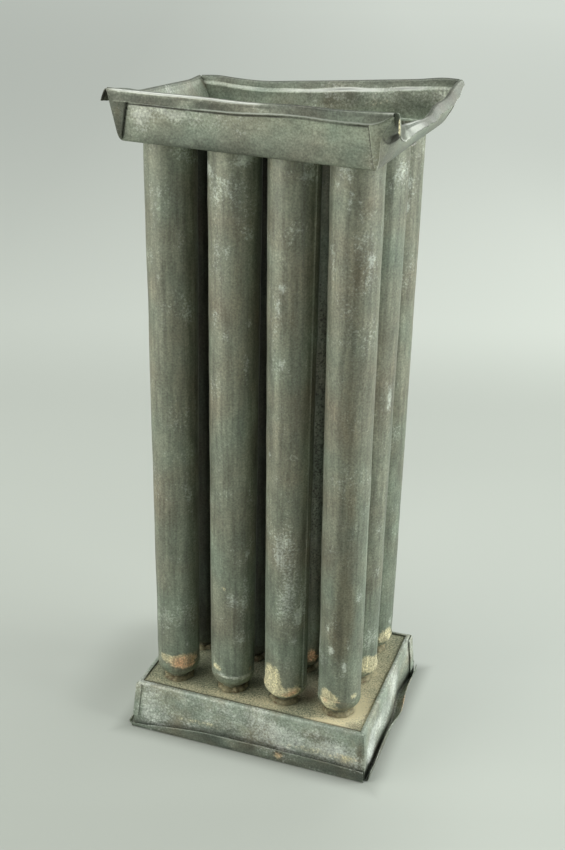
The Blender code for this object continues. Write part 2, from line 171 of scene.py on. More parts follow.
def make_piece(name, points, sharp_deg, closed=True):
    """Put a grid of points in millimetres into a mesh object, closed both ways or open.

    The faces turn round if the volume they enclose, a sum of corner triple products, is negative.
    """
    faces = grid_faces(*points.shape[:2], closed, closed)
    points = points.reshape(-1, 3)
    a, b, c, d = (points[faces[:, i]] for i in range(4))
    if np.sum(a * (np.cross(b, c) + np.cross(c, d))) < 0:
        faces = faces[:, ::-1]
    mesh = bpy.data.meshes.new(name)
    mesh.from_pydata((points * MM).tolist(), [], faces.tolist())
    return put_in_scene(name, mesh, sharp_deg)


def stand_for(piece, node, finish):
    """Give a piece its finish and let it stand for its frame node."""
    piece.data.materials.append(finish)
    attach(piece, "root")
    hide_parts(node)


def floor_push(x, y):
    """Give how far a point of the tray's floor moved: the four corner moves, blended along both sides."""
    x, y = ((place / half + 1)[..., None] / 2 for place, half in zip((x, y), TRAY_FLOOR_HALF))
    near_left, near_right, far_right, far_left = FLOOR_CORNER_PUSH
    return (near_left * (1 - x) + near_right * x) * (1 - y) + (far_left * (1 - x) + far_right * x) * y


def tube_middle(tube):
    """Give the x and y of a tube's axis in the frame."""
    low, high = np.array(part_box(f"tip_{tube}"))[:, :2] / MM
    return (low + high) / 2


def tube_axis(tube, height_share):
    """Give the axis of a leaning tube at shares of its height: a straight line from foot to mouth."""
    foot = tube_middle(tube) + FOOT_PUSH.get(tube, (0, 0))
    mouth = tube_middle(tube) + (MOUTH_PUSH_X[tube], 0)
    share = np.asarray(height_share)[..., None]
    return foot * (1 - share) + mouth * share


def mouth_lift(tube):
    """Give how far a tube's mouth rose or sank with the tray's floor."""
    return floor_push(*tube_axis(tube, 1))[2]


def lap_angles():
    """Give angles round a tube from its lap's edge: even steps, and finer ones close to the edge."""
    even = np.arange(120) * 360 / 120
    fine = np.concatenate((np.arange(-6, 3, 0.5), (-0.25, 0.25, LAP_DEG, LAP_DEG + 5, LAP_DEG + 10)))
    return np.unique(np.concatenate((even, fine % 360)))


def lap_rise(past_edge):
    """Give how far the lap stands proud: a solder fillet, a step at the edge, then a slow fade."""
    before = past_edge - 360
    fillet = 0.45 * smoothstep((before + LAP_FILLET_DEG) / (LAP_FILLET_DEG - 0.4))
    step = 0.55 * smoothstep((before + 0.4) / 0.4)
    fade = 1 - smoothstep((past_edge - LAP_DEG) / LAP_FADE_DEG)
    return np.where(past_edge < 180, fade, fillet + step)


def barrel_surface(tube, seed):
    """Give the points of a barrel on a closed grid of profile by angle.

    Radius = foot radius plus the taper's share of the height, plus lap, waves and dents.  The profile
    goes up the outside, over the rim, down the inside one sheet further in, and closes at the foot.
    """
    low, high = np.array(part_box(f"barrel_{tube}"))[:, 2] / MM
    random = np.random.default_rng(seed)
    past_edge = lap_angles()
    angle = np.radians(SEAM_HEADING_DEG[tube] + past_edge)
    share = np.concatenate((np.linspace(0, 1, BARREL_ROWS), np.linspace(1, 0, 25)))[:, None]
    is_outside = (np.arange(len(share)) < BARREL_ROWS)[:, None]
    height = low + (high + mouth_lift(tube) - low) * share
    radius = FOOT_RADIUS + (MOUTH_RADIUS - FOOT_RADIUS) * share
    # The ends are held round; between them the tube is oval, wavy over 30 mm and rippled over 8 mm
    hold = smoothstep(share / 0.04) * smoothstep((1 - share) / 0.04)
    radius = radius + 0.12 * hold * np.cos(2 * angle + random.uniform(0, 6) + 2 * share)
    radius = radius + 0.07 * hold * waves(angle * 9 / 16, height / 30, seed)
    radius = radius + 0.035 * hold * waves(angle * 9 / 5, height / 8, seed + 1)
    for _ in range(5):
        heading = random.uniform(0, 2 * np.pi)
        place = random.uniform(0.08, 0.95)
        depth = random.uniform(0.1, 0.35)
        tall = random.uniform(5, 16)
        wide = random.uniform(3, 6)
        turn = (angle - heading + np.pi) % (2 * np.pi) - np.pi
        off = (turn * 9.5 / wide) ** 2 + ((share - place) * (high - low) / tall) ** 2
        radius = radius - hold * depth * np.exp(-off)
    radius = radius + SHEET * np.where(is_outside, lap_rise(past_edge), -1)
    axis = tube_axis(tube, share)
    x = axis[..., 0] + radius * np.cos(angle)
    y = axis[..., 1] + radius * np.sin(angle)
    return np.stack((x, y, height + 0 * angle), -1)


def tube_stain(tube, points, seed):
    """Give the four stain amounts at points of a tube: the sum of its listed spots.

    A spot is its strength times e to the minus (distance / half size) squared.  Each foot also gets
    crust, rust and bloom spots of its own round the solder, each back bloom, and each mouth bloom and
    rust spots under the tray, from a seeded draw: kinds, then lowest and highest heading, height, half
    width, half height and strength.
    """
    random = np.random.default_rng(seed)
    spots = [(kind, *row) for kind, rows in TUBE_STAINS.get(tube, {}).items() for row in rows]
    for count, kinds, ranges in (
            (5, ("crust", "rust", "bloom", "scale"), ((0, 250), (28, 37), (2, 4), (1.5, 3), (0.5, 0.8))),
            (12, ("bloom",), ((10, 220), (45, 250), (1, 3), (1, 8), (0.3, 0.7))),
            (9, ("bloom", "bloom", "rust"), ((0, 360), (253, 262), (2, 5), (1.5, 4), (0.3, 0.6)))):
        for _ in range(count):
            kind = kinds[random.integers(len(kinds))] if len(kinds) > 1 else kinds[0]
            spots.append((kind, *(random.uniform(low, high) for low, high in ranges)))
    axis = tube_axis(tube, (points[..., 2] - BARREL_FOOT) / BARREL_LENGTH)
    heading = np.degrees(np.arctan2(points[..., 1] - axis[..., 1], points[..., 0] - axis[..., 0]))
    stain = np.zeros((*points.shape[:-1], 4))
    for kind, spot_heading, height, wide, tall, strength in spots:
        across = np.radians((heading - spot_heading + 180) % 360 - 180) * MIDDLE_RADIUS / wide
        amount = strength * np.exp(-across ** 2 - ((points[..., 2] - height) / tall) ** 2)
        stain += amount[..., None] * STAIN_KINDS[kind]
    return np.clip(stain, 0, 1)


def lay_amounts(piece, name, amounts):
    """Store four amounts at each point of a piece under a name that the finishes read.

    A stain is bloom, rust, crust and pits; a touch is rubbed with a painted highlight, grime with painted
    shade, and painted shade as a dark film, with a spare 1.
    """
    layer = piece.data.attributes.new(name, "FLOAT_COLOR", "POINT")
    layer.data.foreach_set("color", amounts.reshape(-1).astype(np.float32))


def painted_shade_between(points):
    """Give the touch of a tube: painted shade, as a dark film, on the faces between the tubes.

    It rises over the 6 mm inwards of y 24 and x 42, and fades from x -6 to 10, where light got in.
    """
    x, y = points[..., 0], points[..., 1]
    painted_shade = 0.85 * smoothstep((24 - np.abs(y)) / 6) * smoothstep((42 - np.abs(x)) / 6)
    painted_shade = painted_shade * smoothstep((10 - x) / 16)
    return np.stack((0 * painted_shade, 0 * painted_shade, painted_shade, 0 * painted_shade + 1), -1)


def linear(hex_colour):
    """Turn an sRGB hex colour into linear red, green and blue with an alpha of 1."""
    parts = [int(hex_colour[i:i + 2], 16) / 255 for i in (1, 3, 5)]
    return (*[p / 12.92 if p <= 0.04045 else ((p + 0.055) / 1.055) ** 2.4 for p in parts], 1)


def add_node(tree, kind, inputs=(), **settings):
    """Add a node, set its own properties, and give its sockets values or links.

    The inputs are a dict by socket, or a tuple in the sockets' order: a range takes value, from min,
    from max, to min and to max.  In a mix, socket 0 is the share of the second, 2 and 3 are numbers,
    and 6 and 7 are colours.  A node given as an input is linked from its first output in use.
    """
    made = tree.nodes.new(f"ShaderNode{kind}")
    for name, value in settings.items():
        setattr(made, name, value)
    for socket, value in dict(inputs if isinstance(inputs, dict) else enumerate(inputs)).items():
        if isinstance(value, bpy.types.Node):
            value = next(output for output in value.outputs if output.enabled)
        if isinstance(value, bpy.types.NodeSocket):
            tree.links.new(value, made.inputs[socket])
        else:
            made.inputs[socket].default_value = value
    return made


def empty_tree(owner):
    """Clear the node tree of a material or world and give it."""
    owner.use_nodes = True
    owner.node_tree.nodes.clear()
    return owner.node_tree


def read_amounts(tree, name):
    """Give outputs for the four amounts that lay_amounts stored under a name."""
    layer = add_node(tree, "Attribute", attribute_name=name, attribute_type="GEOMETRY")
    return *add_node(tree, "SeparateColor", (layer,)).outputs, layer.outputs["Alpha"]


def weighted_sum(tree, total, terms):
    """Add sources times their weights to a first source."""
    for source, weight in terms:
        total = add_node(tree, "Math", (source, weight, total), operation="MULTIPLY_ADD")
    return total


def layer_share(tree, total, terms, low, high, most=1.0, ease="SMOOTHSTEP"):
    """Give how much a layer shows: 0 where a weighted sum is under low, rising to most at high."""
    total = weighted_sum(tree, total, terms)
    return add_node(tree, "MapRange", (total, low, high, 0.0, most), interpolation_type=ease)


def close_finish(finish, colour, metallic, roughness, bump):
    """Bring a finish's colour, metal, roughness and relief to its surface."""
    shader = add_node(finish.node_tree, "BsdfPrincipled", {"Base Color": colour, "Metallic": metallic,
                                                           "Roughness": roughness, "Normal": bump})
    add_node(finish.node_tree, "OutputMaterial", (shader,))
    return finish


def tarnished_tin(name, cool, warm, white, zone_mm, damp_top, run_way, run_strength, bloom_from, crust_from,
                  metal, rough):
    """Make a finish of tinplate that has gone dull.

    Greenish and brownish zones of zone_mm, greener below the height damp_top, lie under streaks drawn
    out along run_way, mottle, fine grain and pits; white bloom, rust and crust break through where
    noise plus stain is over its threshold.  The touch layer says where the sheet is rubbed bare and lightened
    as a painted highlight, where grime and painted shade fill creases and hollows, and where painted shade
    darkens it as a dull dark film.
    """
    finish = bpy.data.materials.new(name)
    tree = empty_tree(finish)
    place = add_node(tree, "TexCoord").outputs["Object"]
    bloom_stain, rust_stain, crust_stain, pit_stain = read_amounts(tree, "stain")
    rub_and_highlight_touch, grime_and_shade_touch, painted_shade_touch, _ = read_amounts(tree, "touch_and_shade")
    drawn = add_node(tree, "Mapping", {"Vector": place, "Scale": run_way})
    brushed = add_node(tree, "Mapping", {"Vector": place, "Scale": [0.4 + 0.6 * way for way in run_way]})
    # Zones of old handling and damp; streaks of 1.8 mm drawn out the way that wax and water ran; mottle
    # of 6 mm, half drawn out; grain of 0.8 mm; pits of 1 mm; bloom in clouds of 16 mm and flecks of 1 mm
    zones, runs, mottle, grain, pitting, clouds, flecks = (
        add_node(tree, "TexNoise", {0: way, "Scale": 1 / (size * MM), "Detail": detail, "Roughness": edge})
        for way, size, detail, edge in (
            (place, zone_mm, 4, 0.5), (drawn, 1.8, 4, 0.6), (brushed, 6, 6, 0.65), (place, 0.8, 2, 0.6),
            (place, 1, 4, 0.6), (place, 16, 3, 0.6), (place, 1, 4, 0.7)))
    # Each gain takes noise from 0.3 to 0.7 and darkens or lightens the tin by that much
    run_gain, mottle_gain, grain_gain = (
        add_node(tree, "MapRange", (noise, 0.3, 0.7, least, most))
        for noise, least, most in ((runs, 1 - run_strength, 1 + 0.7 * run_strength), (mottle, 0.74, 1.25),
                                   (grain, 0.74, 1.29)))
    gain = add_node(tree, "Math", (mottle_gain, grain_gain), operation="MULTIPLY")
    gain = add_node(tree, "Math", (gain, run_gain), operation="MULTIPLY")
    # Green-grey zones against brown-grey ones, greener towards the damp foot, under the painted shade
    height = add_node(tree, "SeparateXYZ", (place,)).outputs["Z"]
    damp = add_node(tree, "MapRange", (height, 30 * MM, damp_top * MM, -0.14, 0.0))
    zone_sum = add_node(tree, "Math", (zones, damp), operation="ADD")
    zone_share = add_node(tree, "MapRange", (zone_sum, 0.3, 0.68))
    tin = add_node(tree, "Mix", {0: zone_share, 6: linear(cool), 7: linear(warm)}, data_type="RGBA")
    # Painted shade: the filmed amount darkens the tin to a third
    painted_shade = add_node(tree, "MapRange", {0: painted_shade_touch, 3: 1.0, 4: 0.34})
    colour = add_node(tree, "Mix", {0: 1.0, 6: tin, 7: painted_shade}, data_type="RGBA", blend_type="MULTIPLY")
    # Rust has a broken edge, painted shade thins the bloom, and crust comes in grains
    rust = layer_share(tree, rust_stain, ((mottle, 1.2),), 0.8, 1.5, 0.6, "LINEAR")
    bloom = layer_share(tree, clouds, ((flecks, 1.3), (painted_shade_touch, -0.2), (bloom_stain, 0.6)), bloom_from,
                        bloom_from + 0.45, 0.75)
    crust = layer_share(tree, crust_stain, ((flecks, 1.0), (mottle, 1.25)), crust_from + 0.08,
                        crust_from + 0.48, 0.92)
    pits = layer_share(tree, pitting, ((pit_stain, 0.22),), 0.68, 0.84, 0.75)
    # Crust is cream, or orange tan where rust came through it, broken up into crumbs
    tan_share = add_node(tree, "Math", (mottle, rust_stain), operation="MULTIPLY")
    tan_share = add_node(tree, "MapRange", (tan_share, 0.1, 0.5))
    tan = add_node(tree, "Mix", {0: tan_share, 6: linear("#d6cfa8"), 7: linear("#e4b98f")}, data_type="RGBA")
    crumbs = add_node(tree, "MapRange", (grain, 0.35, 0.65, 0.8, 1.1))
    tan = add_node(tree, "Mix", {0: 1.0, 6: tan, 7: crumbs}, data_type="RGBA", blend_type="MULTIPLY")
    for share, over in ((rust, linear("#655a44")), (bloom, linear(white)), (crust, tan),
                        (pits, linear("#383629"))):
        colour = add_node(tree, "Mix", {0: share, 6: colour, 7: over}, data_type="RGBA")
    colour = add_node(tree, "Mix", {0: 1.0, 6: colour, 7: gain}, data_type="RGBA", blend_type="MULTIPLY")
    # Rubbed edges are bare tin, lightened as a painted highlight, with a broken outline; grime and painted
    # shade are nearly black
    rubbed_and_highlit = layer_share(tree, rub_and_highlight_touch, ((mottle, 0.7),), 0.6, 1.25)
    grime_and_shade = layer_share(tree, grime_and_shade_touch, ((mottle, 0.9),), 0.68, 1.5, 0.92, "LINEAR")
    for share, over in ((rubbed_and_highlit, "#bcc0b6"), (grime_and_shade, "#211f18")):
        colour = add_node(tree, "Mix", {0: share, 6: colour, 7: linear(over)}, data_type="RGBA")
    # Oxides, grime and painted shade are matt; the bare tin between keeps a dull metal gloss that the mottle
    # breaks up
    oxide = add_node(tree, "Math", (bloom, crust), operation="MAXIMUM")
    oxide = add_node(tree, "Math", (oxide, grime_and_shade), operation="MAXIMUM")
    metallic = add_node(tree, "MapRange", {0: oxide, 3: metal, 4: 0.0})
    metallic = add_node(tree, "Mix", {0: rubbed_and_highlit, 2: metallic, 3: 0.7})
    gloss = add_node(tree, "MapRange", (mottle, 0.3, 0.7, rough - 0.06, rough + 0.1))
    roughness = add_node(tree, "Math", (gloss, oxide), operation="MAXIMUM")
    roughness = add_node(tree, "Mix", {0: rubbed_and_highlit, 2: roughness, 3: 0.34})
    # Relief in tenths of a mm: mottle and grain stand up, pits sink, oxide lies on top
    relief = weighted_sum(tree, mottle, ((grain, 0.45), (oxide, 0.6), (pits, -0.8)))
    bump = add_node(tree, "Bump", {"Height": relief, "Distance": 0.1 * MM, "Strength": 0.8})
    return close_finish(finish, colour, metallic, roughness, bump)


# Hot-dipped tin, rolled and dulled by handling: grey-green, with brown drip runs down the tubes
BARREL_TIN = tarnished_tin("tarnished_rolled_tin", "#818b7a", "#817d6b", "#ccd3c6", 30, 130, (1, 1, 0.06),
                           0.3, 1.26, 1.5, 0.3, 0.5)
for number, tube in enumerate(TUBES):
    points = barrel_surface(tube, 10 * number)
    barrel = make_piece(f"rolled_barrel_{tube}", points, 50)
    lay_amounts(barrel, "stain", tube_stain(tube, points, 10 * number + 5))
    lay_amounts(barrel, "touch_and_shade", painted_shade_between(points))
    stand_for(barrel, f"barrel_{tube}", BARREL_TIN)

# Tips
# Each tube ends in a spun tin tip: a collar inside the barrel, a rounded shoulder, a neck that stands
# in the base plate and a nozzle for the wick below it.  Solder, wax and rust crust the shoulder.

NECK_RADIUS = 5.0
NECK_AT_PLATE = 4.7
NECK_TOP = 25.5
LEDGE = 29.7
COLLAR_RADIUS = 8.4
COLLAR_TOP = 34.0
PLATE_TOP = 21.5
NOZZLE_END = 14.5
NOZZLE_RADIUS = 2.6
WICK_HOLE_RADIUS = 1.2
BEAD_TOP = 31.8
# Rows of the outline that are outside: bead, shoulder and neck
OUTER_ROWS = 33


def tip_outline():
    """Give a tip's closed outline as rows of (radius, height), from the collar round to the collar.

    The shoulder is a quarter of a squarish oval: (u to the power 2.2) + (v to the power 2.2) = 1.
    """
    quarter = np.linspace(0, np.pi / 2, 21)
    reach = FOOT_RADIUS + 0.08 - NECK_RADIUS
    shoulder = np.stack((NECK_RADIUS + reach * np.cos(quarter) ** (2 / 2.2),
                         LEDGE - (LEDGE - NECK_TOP) * np.sin(quarter) ** (2 / 2.2)), -1)
    bead = ((COLLAR_RADIUS, 29.9), (8.95, 30.2), (8.95, BEAD_TOP), (9.10, BEAD_TOP - 0.2),
            (9.17, BEAD_TOP - 0.7), (9.22, BEAD_TOP - 1.3), (9.24, LEDGE + 0.3))
    neck = [(NECK_RADIUS - (NECK_RADIUS - NECK_AT_PLATE) * s, NECK_TOP - 4.0 * s)
            for s in (0.2, 0.4, 0.6, 0.8, 1.0)]
    nozzle = ((4.6, 20.6), (4.1, 18.7), (3.4, 16.6), (NOZZLE_RADIUS, NOZZLE_END),
              (WICK_HOLE_RADIUS, NOZZLE_END), (WICK_HOLE_RADIUS, NOZZLE_END + SHEET))
    inside = ((NOZZLE_RADIUS - 0.3, NOZZLE_END + 0.6), (4.2, 20.6), (4.5, NECK_TOP - 0.6), (6.6, 26.3),
              (7.9, 27.8), (8.0, LEDGE), (8.0, COLLAR_TOP), (COLLAR_RADIUS, COLLAR_TOP))
    return np.concatenate((bead, shoulder, neck, nozzle, inside))


def make_tip(tube, number):
    """Turn one tip; solder and crust swell its shoulder unevenly by a few tenths of a millimetre.

    Its stains are drawn as its barrel's are, so that they run on over the joint.
    """
    outline = tip_outline()
    seed = 500 + 10 * number
    angle = np.arange(96) * 2 * np.pi / 96
    outward = np.stack((np.cos(angle), np.sin(angle), 0 * angle), -1)
    height = outline[:, 1:] + 0 * angle
    points = outline[:, :1, None] * outward
    points[..., :2] += tube_axis(tube, 0)
    points[..., 2] = height
    shown = smoothstep((BEAD_TOP + 0.5 - height) / 0.5) * smoothstep((height - PLATE_TOP) / 2)
    outer = (np.arange(len(outline)) < OUTER_ROWS)[:, None]
    stain = tube_stain(tube, points, 10 * number + 5)
    swell = 0.09 * waves(angle * 9 / 4, height / 4, seed) + 0.05 * waves(angle * 5, height / 2, seed + 1)
    crust = np.maximum(stain[..., 2], 0.6 * stain[..., 0])
    swell = swell + 0.35 * crust * (1 + 0.5 * waves(angle * 7, height / 1.3, seed))
    points = points + outward * (swell * shown * outer)[..., None]
    stain[..., 1] = np.maximum(stain[..., 1], 0.55 * smoothstep((28 - height) / 4) * outer)
    tip = make_piece(f"spun_tip_{tube}", points, 50)
    lay_amounts(tip, "stain", stain)
    lay_amounts(tip, "touch_and_shade", painted_shade_between(points))
    stand_for(tip, f"tip_{tube}", TIP_TIN)


# The same tin, spun over a former, browner and more crusted because wax and damp collect there
TIP_TIN = tarnished_tin("tarnished_spun_tin", "#7d8672", "#7a7662", "#c9cfbd", 14, 40, (1, 1, 0.6), 0.2,
                        1.22, 1.42, 0.3, 0.56)
for number, tube in enumerate(TUBES):
    make_tip(tube, number)

# Top tray
# The pan that takes the hot wax, folded from one sheet: a floor with twelve round holes, four flared
# walls, the spare sheet of each corner folded flat against the long walls, and a turned-over hem.
# It has been knocked about, so its rim sags at the back left and its right side is bent outwards.

FLOOR_HEIGHT = 262.2
MOUTH_HOLE_RADIUS = 10.65
TUBE_PITCH = np.array((24.5, 25.5))
CELL_STEPS = 32
TRAY_BEND = 1.0
HEM_RADIUS = 0.9
# Width of the folded-over sheet at the top of each corner, front left round to back left, and the painted
# shade on it
WEB_WIDTHS = (8.0, 9.5, 8.0, 8.0)
WEB_SHADE = (1, 0.1, 0.4, 0.4)
FOLD_GAP = 0.6
UP = np.array((0, 0, 1.0))

# Sides run round the tray as front, right, back, left, and a share of 0 to 1 runs along each.  A
# curve along a side is (shares, values), or one number where it stays the same.
OUTWARD = np.array(((0, -1, 0), (1, 0, 0), (0, 1, 0), (-1, 0, 0)), float)
# Corners of the wall's top edge, where the hem starts: front left, front right, back right, back left
RIM_CORNERS = np.array(((-54.3, -43.3, 0), (51.3, -43.3, 0), (54.3, 42.9, 0), (-54.6, 42.9, 0)))
# Height of the rim's crest and how far it strays outwards, at shares along each side
RIM_LINE = (
    ((0, 0.17, 0.35, 0.49, 0.58, 0.68, 0.82, 0.92, 1),
     (281.6, 281.4, 281.2, 280.75, 280.9, 281.25, 281.0, 281.2, 281.5),
     (0, 0.1, 0, -0.2, -0.1, 0.1, 0.1, 0, 0)),
    ((0, 0.03, 0.09, 0.19, 0.32, 0.4, 0.47, 0.55, 0.71, 0.8, 0.96, 1),
     (281.5, 277.6, 276.5, 276.0, 274.8, 274.9, 276.0, 276.4, 276.4, 277.8, 279.2, 279.2),
     (0, 0.2, 0.8, 1.6, 2.0, 1.9, 1.4, 0.9, 0.6, 0.4, 0, 0)),
    ((0, 0.05, 0.15, 0.3, 0.45, 0.6, 0.77, 0.86, 0.94, 1),
     (279.2, 279.3, 278.0, 276.5, 275.0, 273.6, 272.3, 272.6, 273.1, 272.7),
     (0, 0, 0.1, 0.2, 0.1, 0, -0.1, 0, 0, 0)),
    ((0, 0.1, 0.24, 0.37, 0.57, 0.67, 0.8, 1),
     (272.7, 272.5, 273.2, 274.0, 275.2, 275.9, 278.3, 281.0),
     (0, 0, 0.1, 0.2, 0.3, 0.3, 0.1, 0)),
)
# Hem flaps: width from crest to edge, and lean away from the vertical in degrees, along each side
HEM_LINE = (
    ((0, 0.15, 0.3, 0.45, 0.6, 0.75, 0.88, 0.95, 0.98, 1), (4.3, 4.1, 4.3, 4.0, 3.4, 3.7, 4.0, 3.8, 2.6, 1.2),
     (0, -1, -1, 0, 3, 5, 3, 3, 3, 3)),
    ((0, 0.05, 0.12, 0.2, 0.31, 0.42, 0.55, 0.71, 0.82, 0.95, 1),
     (6.4, 5.6, 4.4, 3.9, 3.2, 3.5, 4.0, 3.8, 4.1, 2.8, 2.2), (8, 18, 34, 40, 52, 42, 34, 32, 26, 22, 22)),
    ((0, 0.3, 0.6, 1), (4.6, 5.0, 4.6, 4.8), (4, 3, 6, 3)),
    ((0, 0.3, 0.7, 1), (4.4, 4.8, 5.0, 5.2), (16, 18, 22, 26)),
)
# How ragged the free edge of each flap is, in mm either way
HEM_RAGGED = (0.07, 0.3, 0.1, 0.15)
# How far below the wall's top a step pushes it outwards, and by how much, along each side
STEP_LINE = (
    ((0, 1), (2.0, 2.0), (0.0, 0.0)),
    ((0, 0.3, 1), (2.2, 2.0, 1.5), (0.6, 0.8, 0.8)),
    ((0, 0.06, 0.18, 0.3, 0.42, 0.55, 0.7, 0.9, 1), (2.6, 2.7, 2.3, 2.7, 2.2, 2.6, 2.2, 2.0, 1.6),
     (0.9, 1.2, 1.8, 1.4, 2.0, 1.5, 1.8, 1.4, 0.8)),
    ((0, 0.5, 1), (0.8, 1.0, 1.4), (0.5, 0.7, 0.5)),
)
# Where the sheet is touched and where light and shade are painted, along each side: the step and the crest
# are rubbed bright with a painted highlight, painted shadow sits under the flap, the flap's face and edge
# are rubbed with a painted highlight or painted dark as shade, and painted shade deepens down the wall
STEP_RUB_AND_HIGHLIGHT = (0, ((0, 0.5, 1), (0.2, 0.3, 0.6)),
            ((0, 0.08, 0.16, 0.26, 0.38, 0.5, 0.62, 0.72, 0.82, 0.92, 1),
             (0.1, 0.35, 0.75, 0.6, 0.95, 0.8, 0.6, 0.4, 0.5, 0.3, 0.2)), 0.3)
CREST_RUB_AND_HIGHLIGHT = (((0, 0.05, 0.35, 0.52, 0.6, 0.9, 1), (0.4, 1, 1, 1, 0.1, 0.1, 0.6)),
             ((0, 0.06, 0.1, 0.3, 0.38, 0.6, 1), (0.1, 0.5, 1, 1, 0.5, 0.3, 0.2)),
             ((0, 1), (0.2, 0.1)), ((0, 1), (0.3, 0.4)))
EDGE_RUB_AND_HIGHLIGHT = (((0, 0.3, 0.38, 0.9, 1), (0.4, 0.4, 1, 1, 0.8)), ((0, 0.1, 1), (0.9, 0.5, 0.4)), 0.3, 0.5)
UNDER_FLAP_SHADOW = (((0, 0.08, 0.3, 0.6, 0.75, 0.95, 1), (0.5, 0.9, 1, 1, 0.7, 0.8, 0.2)), 0.5, 0.6, 0.5)
FLAP_RUB_AND_HIGHLIGHT = (0, ((0, 0.04, 0.09, 0.17, 0.25, 0.34, 1), (0, 0.2, 0.62, 0.72, 0.5, 0.15, 0.0)), 0, 0)
FLAP_SHADE = (((0, 0.24, 0.285, 0.33, 0.42, 0.52, 0.6, 0.8, 1), (0.9, 0.95, 0.4, 1, 1, 0.3, 0.65, 0.8, 0.7)),
             ((0, 0.3, 0.5, 1), (0.95, 0.8, 0.6, 0.8)), 0.6, 0.5)
# Painted shade within each hem; the torn end of the right one has little
HEM_INNER_SHADE = (0.9, ((0, 0.04, 0.1, 1), (0.1, 0.25, 0.9, 0.9)), 0.9, 0.9)
FOOT_SHADE = (((0, 0.15, 0.3, 0.5, 0.75, 1), (0.6, 0.75, 0.95, 0.95, 0.6, 0.45)), 0.9, 0.7, 0.7)
# Painted shade on the inside of each wall, below and above its step
INSIDE_SHADE = ((0.4, 0.5), (0.3, 0.5), (0.25, 0.6), (0.35, 0.5))
# Spots of painted shade, as grime and dark film: which of rubbed, grimy and filmed, middle, reach along x, y
# and z, strength
TRAY_TOUCH_AND_SHADE = (
    (1, (-57, -43.5, 278), (3, 1.5, 3), 1.0), (1, (52.6, -43.4, 276.5), (1.3, 1.6, 3.4), 0.3),
    (1, (53.6, 42.6, 277.5), (2.2, 2, 1.4), 0.9), (1, (49.3, -35, 271.6), (3, 4.6, 2.6), 1.3),
    (2, (52, -38, 271), (5, 11, 12), 0.95), (2, (-54.5, -43, 272), (3, 2.4, 12), 0.6),
    (2, (57, 10, 275), (4, 30, 6), 0.3),
)
# Knocks that moved the sheet: middle, reach along x, y and z, and the push, in mm
TRAY_KNOCKS = (
    ((49.8, -42.5, 271.5), (4.0, 5.0, 6.0), (-2.1, 0.5, 0.0)),
    ((52.0, 32.0, 269.5), (6.0, 16.0, 5.5), (2.6, 0.0, 0.0)),
    ((-20.0, -42.0, 270.0), (14.0, 5.0, 5.0), (0.0, 0.5, 0.0)),
    ((22.0, -42.0, 272.0), (18.0, 5.0, 5.0), (0.0, 0.6, 0.0)),
    ((-30.0, 42.0, 267.0), (16.0, 5.0, 5.0), (0.0, 0.6, 0.0)),
    ((28.0, 42.0, 270.0), (20.0, 5.0, 6.0), (0.0, -0.7, 0.0)),
)
# Stains of the tray: middle, reach along x, y and z, strength
TRAY_STAINS = {
    "bloom": (((-34, -42, 275), (20, 3, 4), 0.4), ((-29, -42, 273), (5, 3, 2), 0.4),
        ((-12, -42, 272), (5, 3, 3), 0.35), ((-43, -42, 270), (3, 3, 4), 0.4),
        ((-4.5, -42, 268.6), (4, 3, 2), 0.4), ((-34, -42, 276), (3, 3, 2), 0.5),
        ((-52, 7, 273), (3, 4, 2), 0.8), ((-52, 28, 272.6), (3, 4, 2), 0.7),
        ((30, 42, 271), (22, 4, 6), 0.45), ((-24, 42, 270), (22, 4, 5), 0.1),
        ((54, -44.4, 276), (3.4, 1.3, 7), 1), ((48.5, 42, 271), (5, 4, 5), 0.4)),
    # The rust lines at (-51, -42, 271), along the front left fold, and at (-53, 41, 268), in the back left
    # inside corner, are painted shade coloured as rust
    "rust": (((34, -42, 267), (22, 3, 6), 0.35), ((-51, -42, 271), (1.6, 3, 9), 0.7),
        ((48, -42, 268), (4, 4, 8), 0.4), ((2, 42, 267), (4, 4, 4), 0.7), ((30, 42, 268), (34, 4, 4), 0.35),
        ((-53, 41, 268), (1.5, 1.5, 8), 0.8), ((0, 0, 262), (44, 36, 1.5), 0.35)),
    "pits": (((5, 42, 267), (1.2, 4, 5), 0.6), ((53, 41, 276), (3, 3, 4), 0.7)),
    "crust": (((54, -44.4, 276), (3.4, 1.3, 7), 1), ((16, 42, 270), (34, 4, 6), 0.4),
        ((20, 10, 262), (30, 20, 1.5), 0.45), ((-25, -8, 262), (22, 24, 1.5), 0.45)),
}


def along(curve, at):
    """Run a smooth curve through a few values: cubic pieces whose slopes are the values' own gradient."""
    if not isinstance(curve, tuple):
        return curve + 0 * at
    places, values = np.asarray(curve, float)
    slopes = np.gradient(values, places)
    at = np.clip(at, places[0], places[-1])
    piece = np.clip(np.searchsorted(places, at, side="right") - 1, 0, len(places) - 2)
    width = places[piece + 1] - places[piece]
    t = (at - places[piece]) / width
    start = values[piece] * (1 + 2 * t) + slopes[piece] * t * width
    end = values[piece + 1] * (3 - 2 * t) + slopes[piece + 1] * (t - 1) * width
    return start * (1 - t) ** 2 + end * t ** 2


def near_spot(points, middle, reach):
    """Give e to the minus squared distance from the middle, each axis divided by its reach."""
    return np.exp(-np.sum(((points - middle) / reach) ** 2, axis=-1))


def bell(distance, reach):
    """Give e to the minus (distance / reach) squared: 1 on a line, fading to both sides."""
    return np.exp(-(distance / reach) ** 2)


def knocked(points, knocks):
    """Move points by the sum of the knocks, each fading away from its middle."""
    return points + sum(near_spot(points, middle, reach)[:, None] * push for middle, reach, push in knocks)


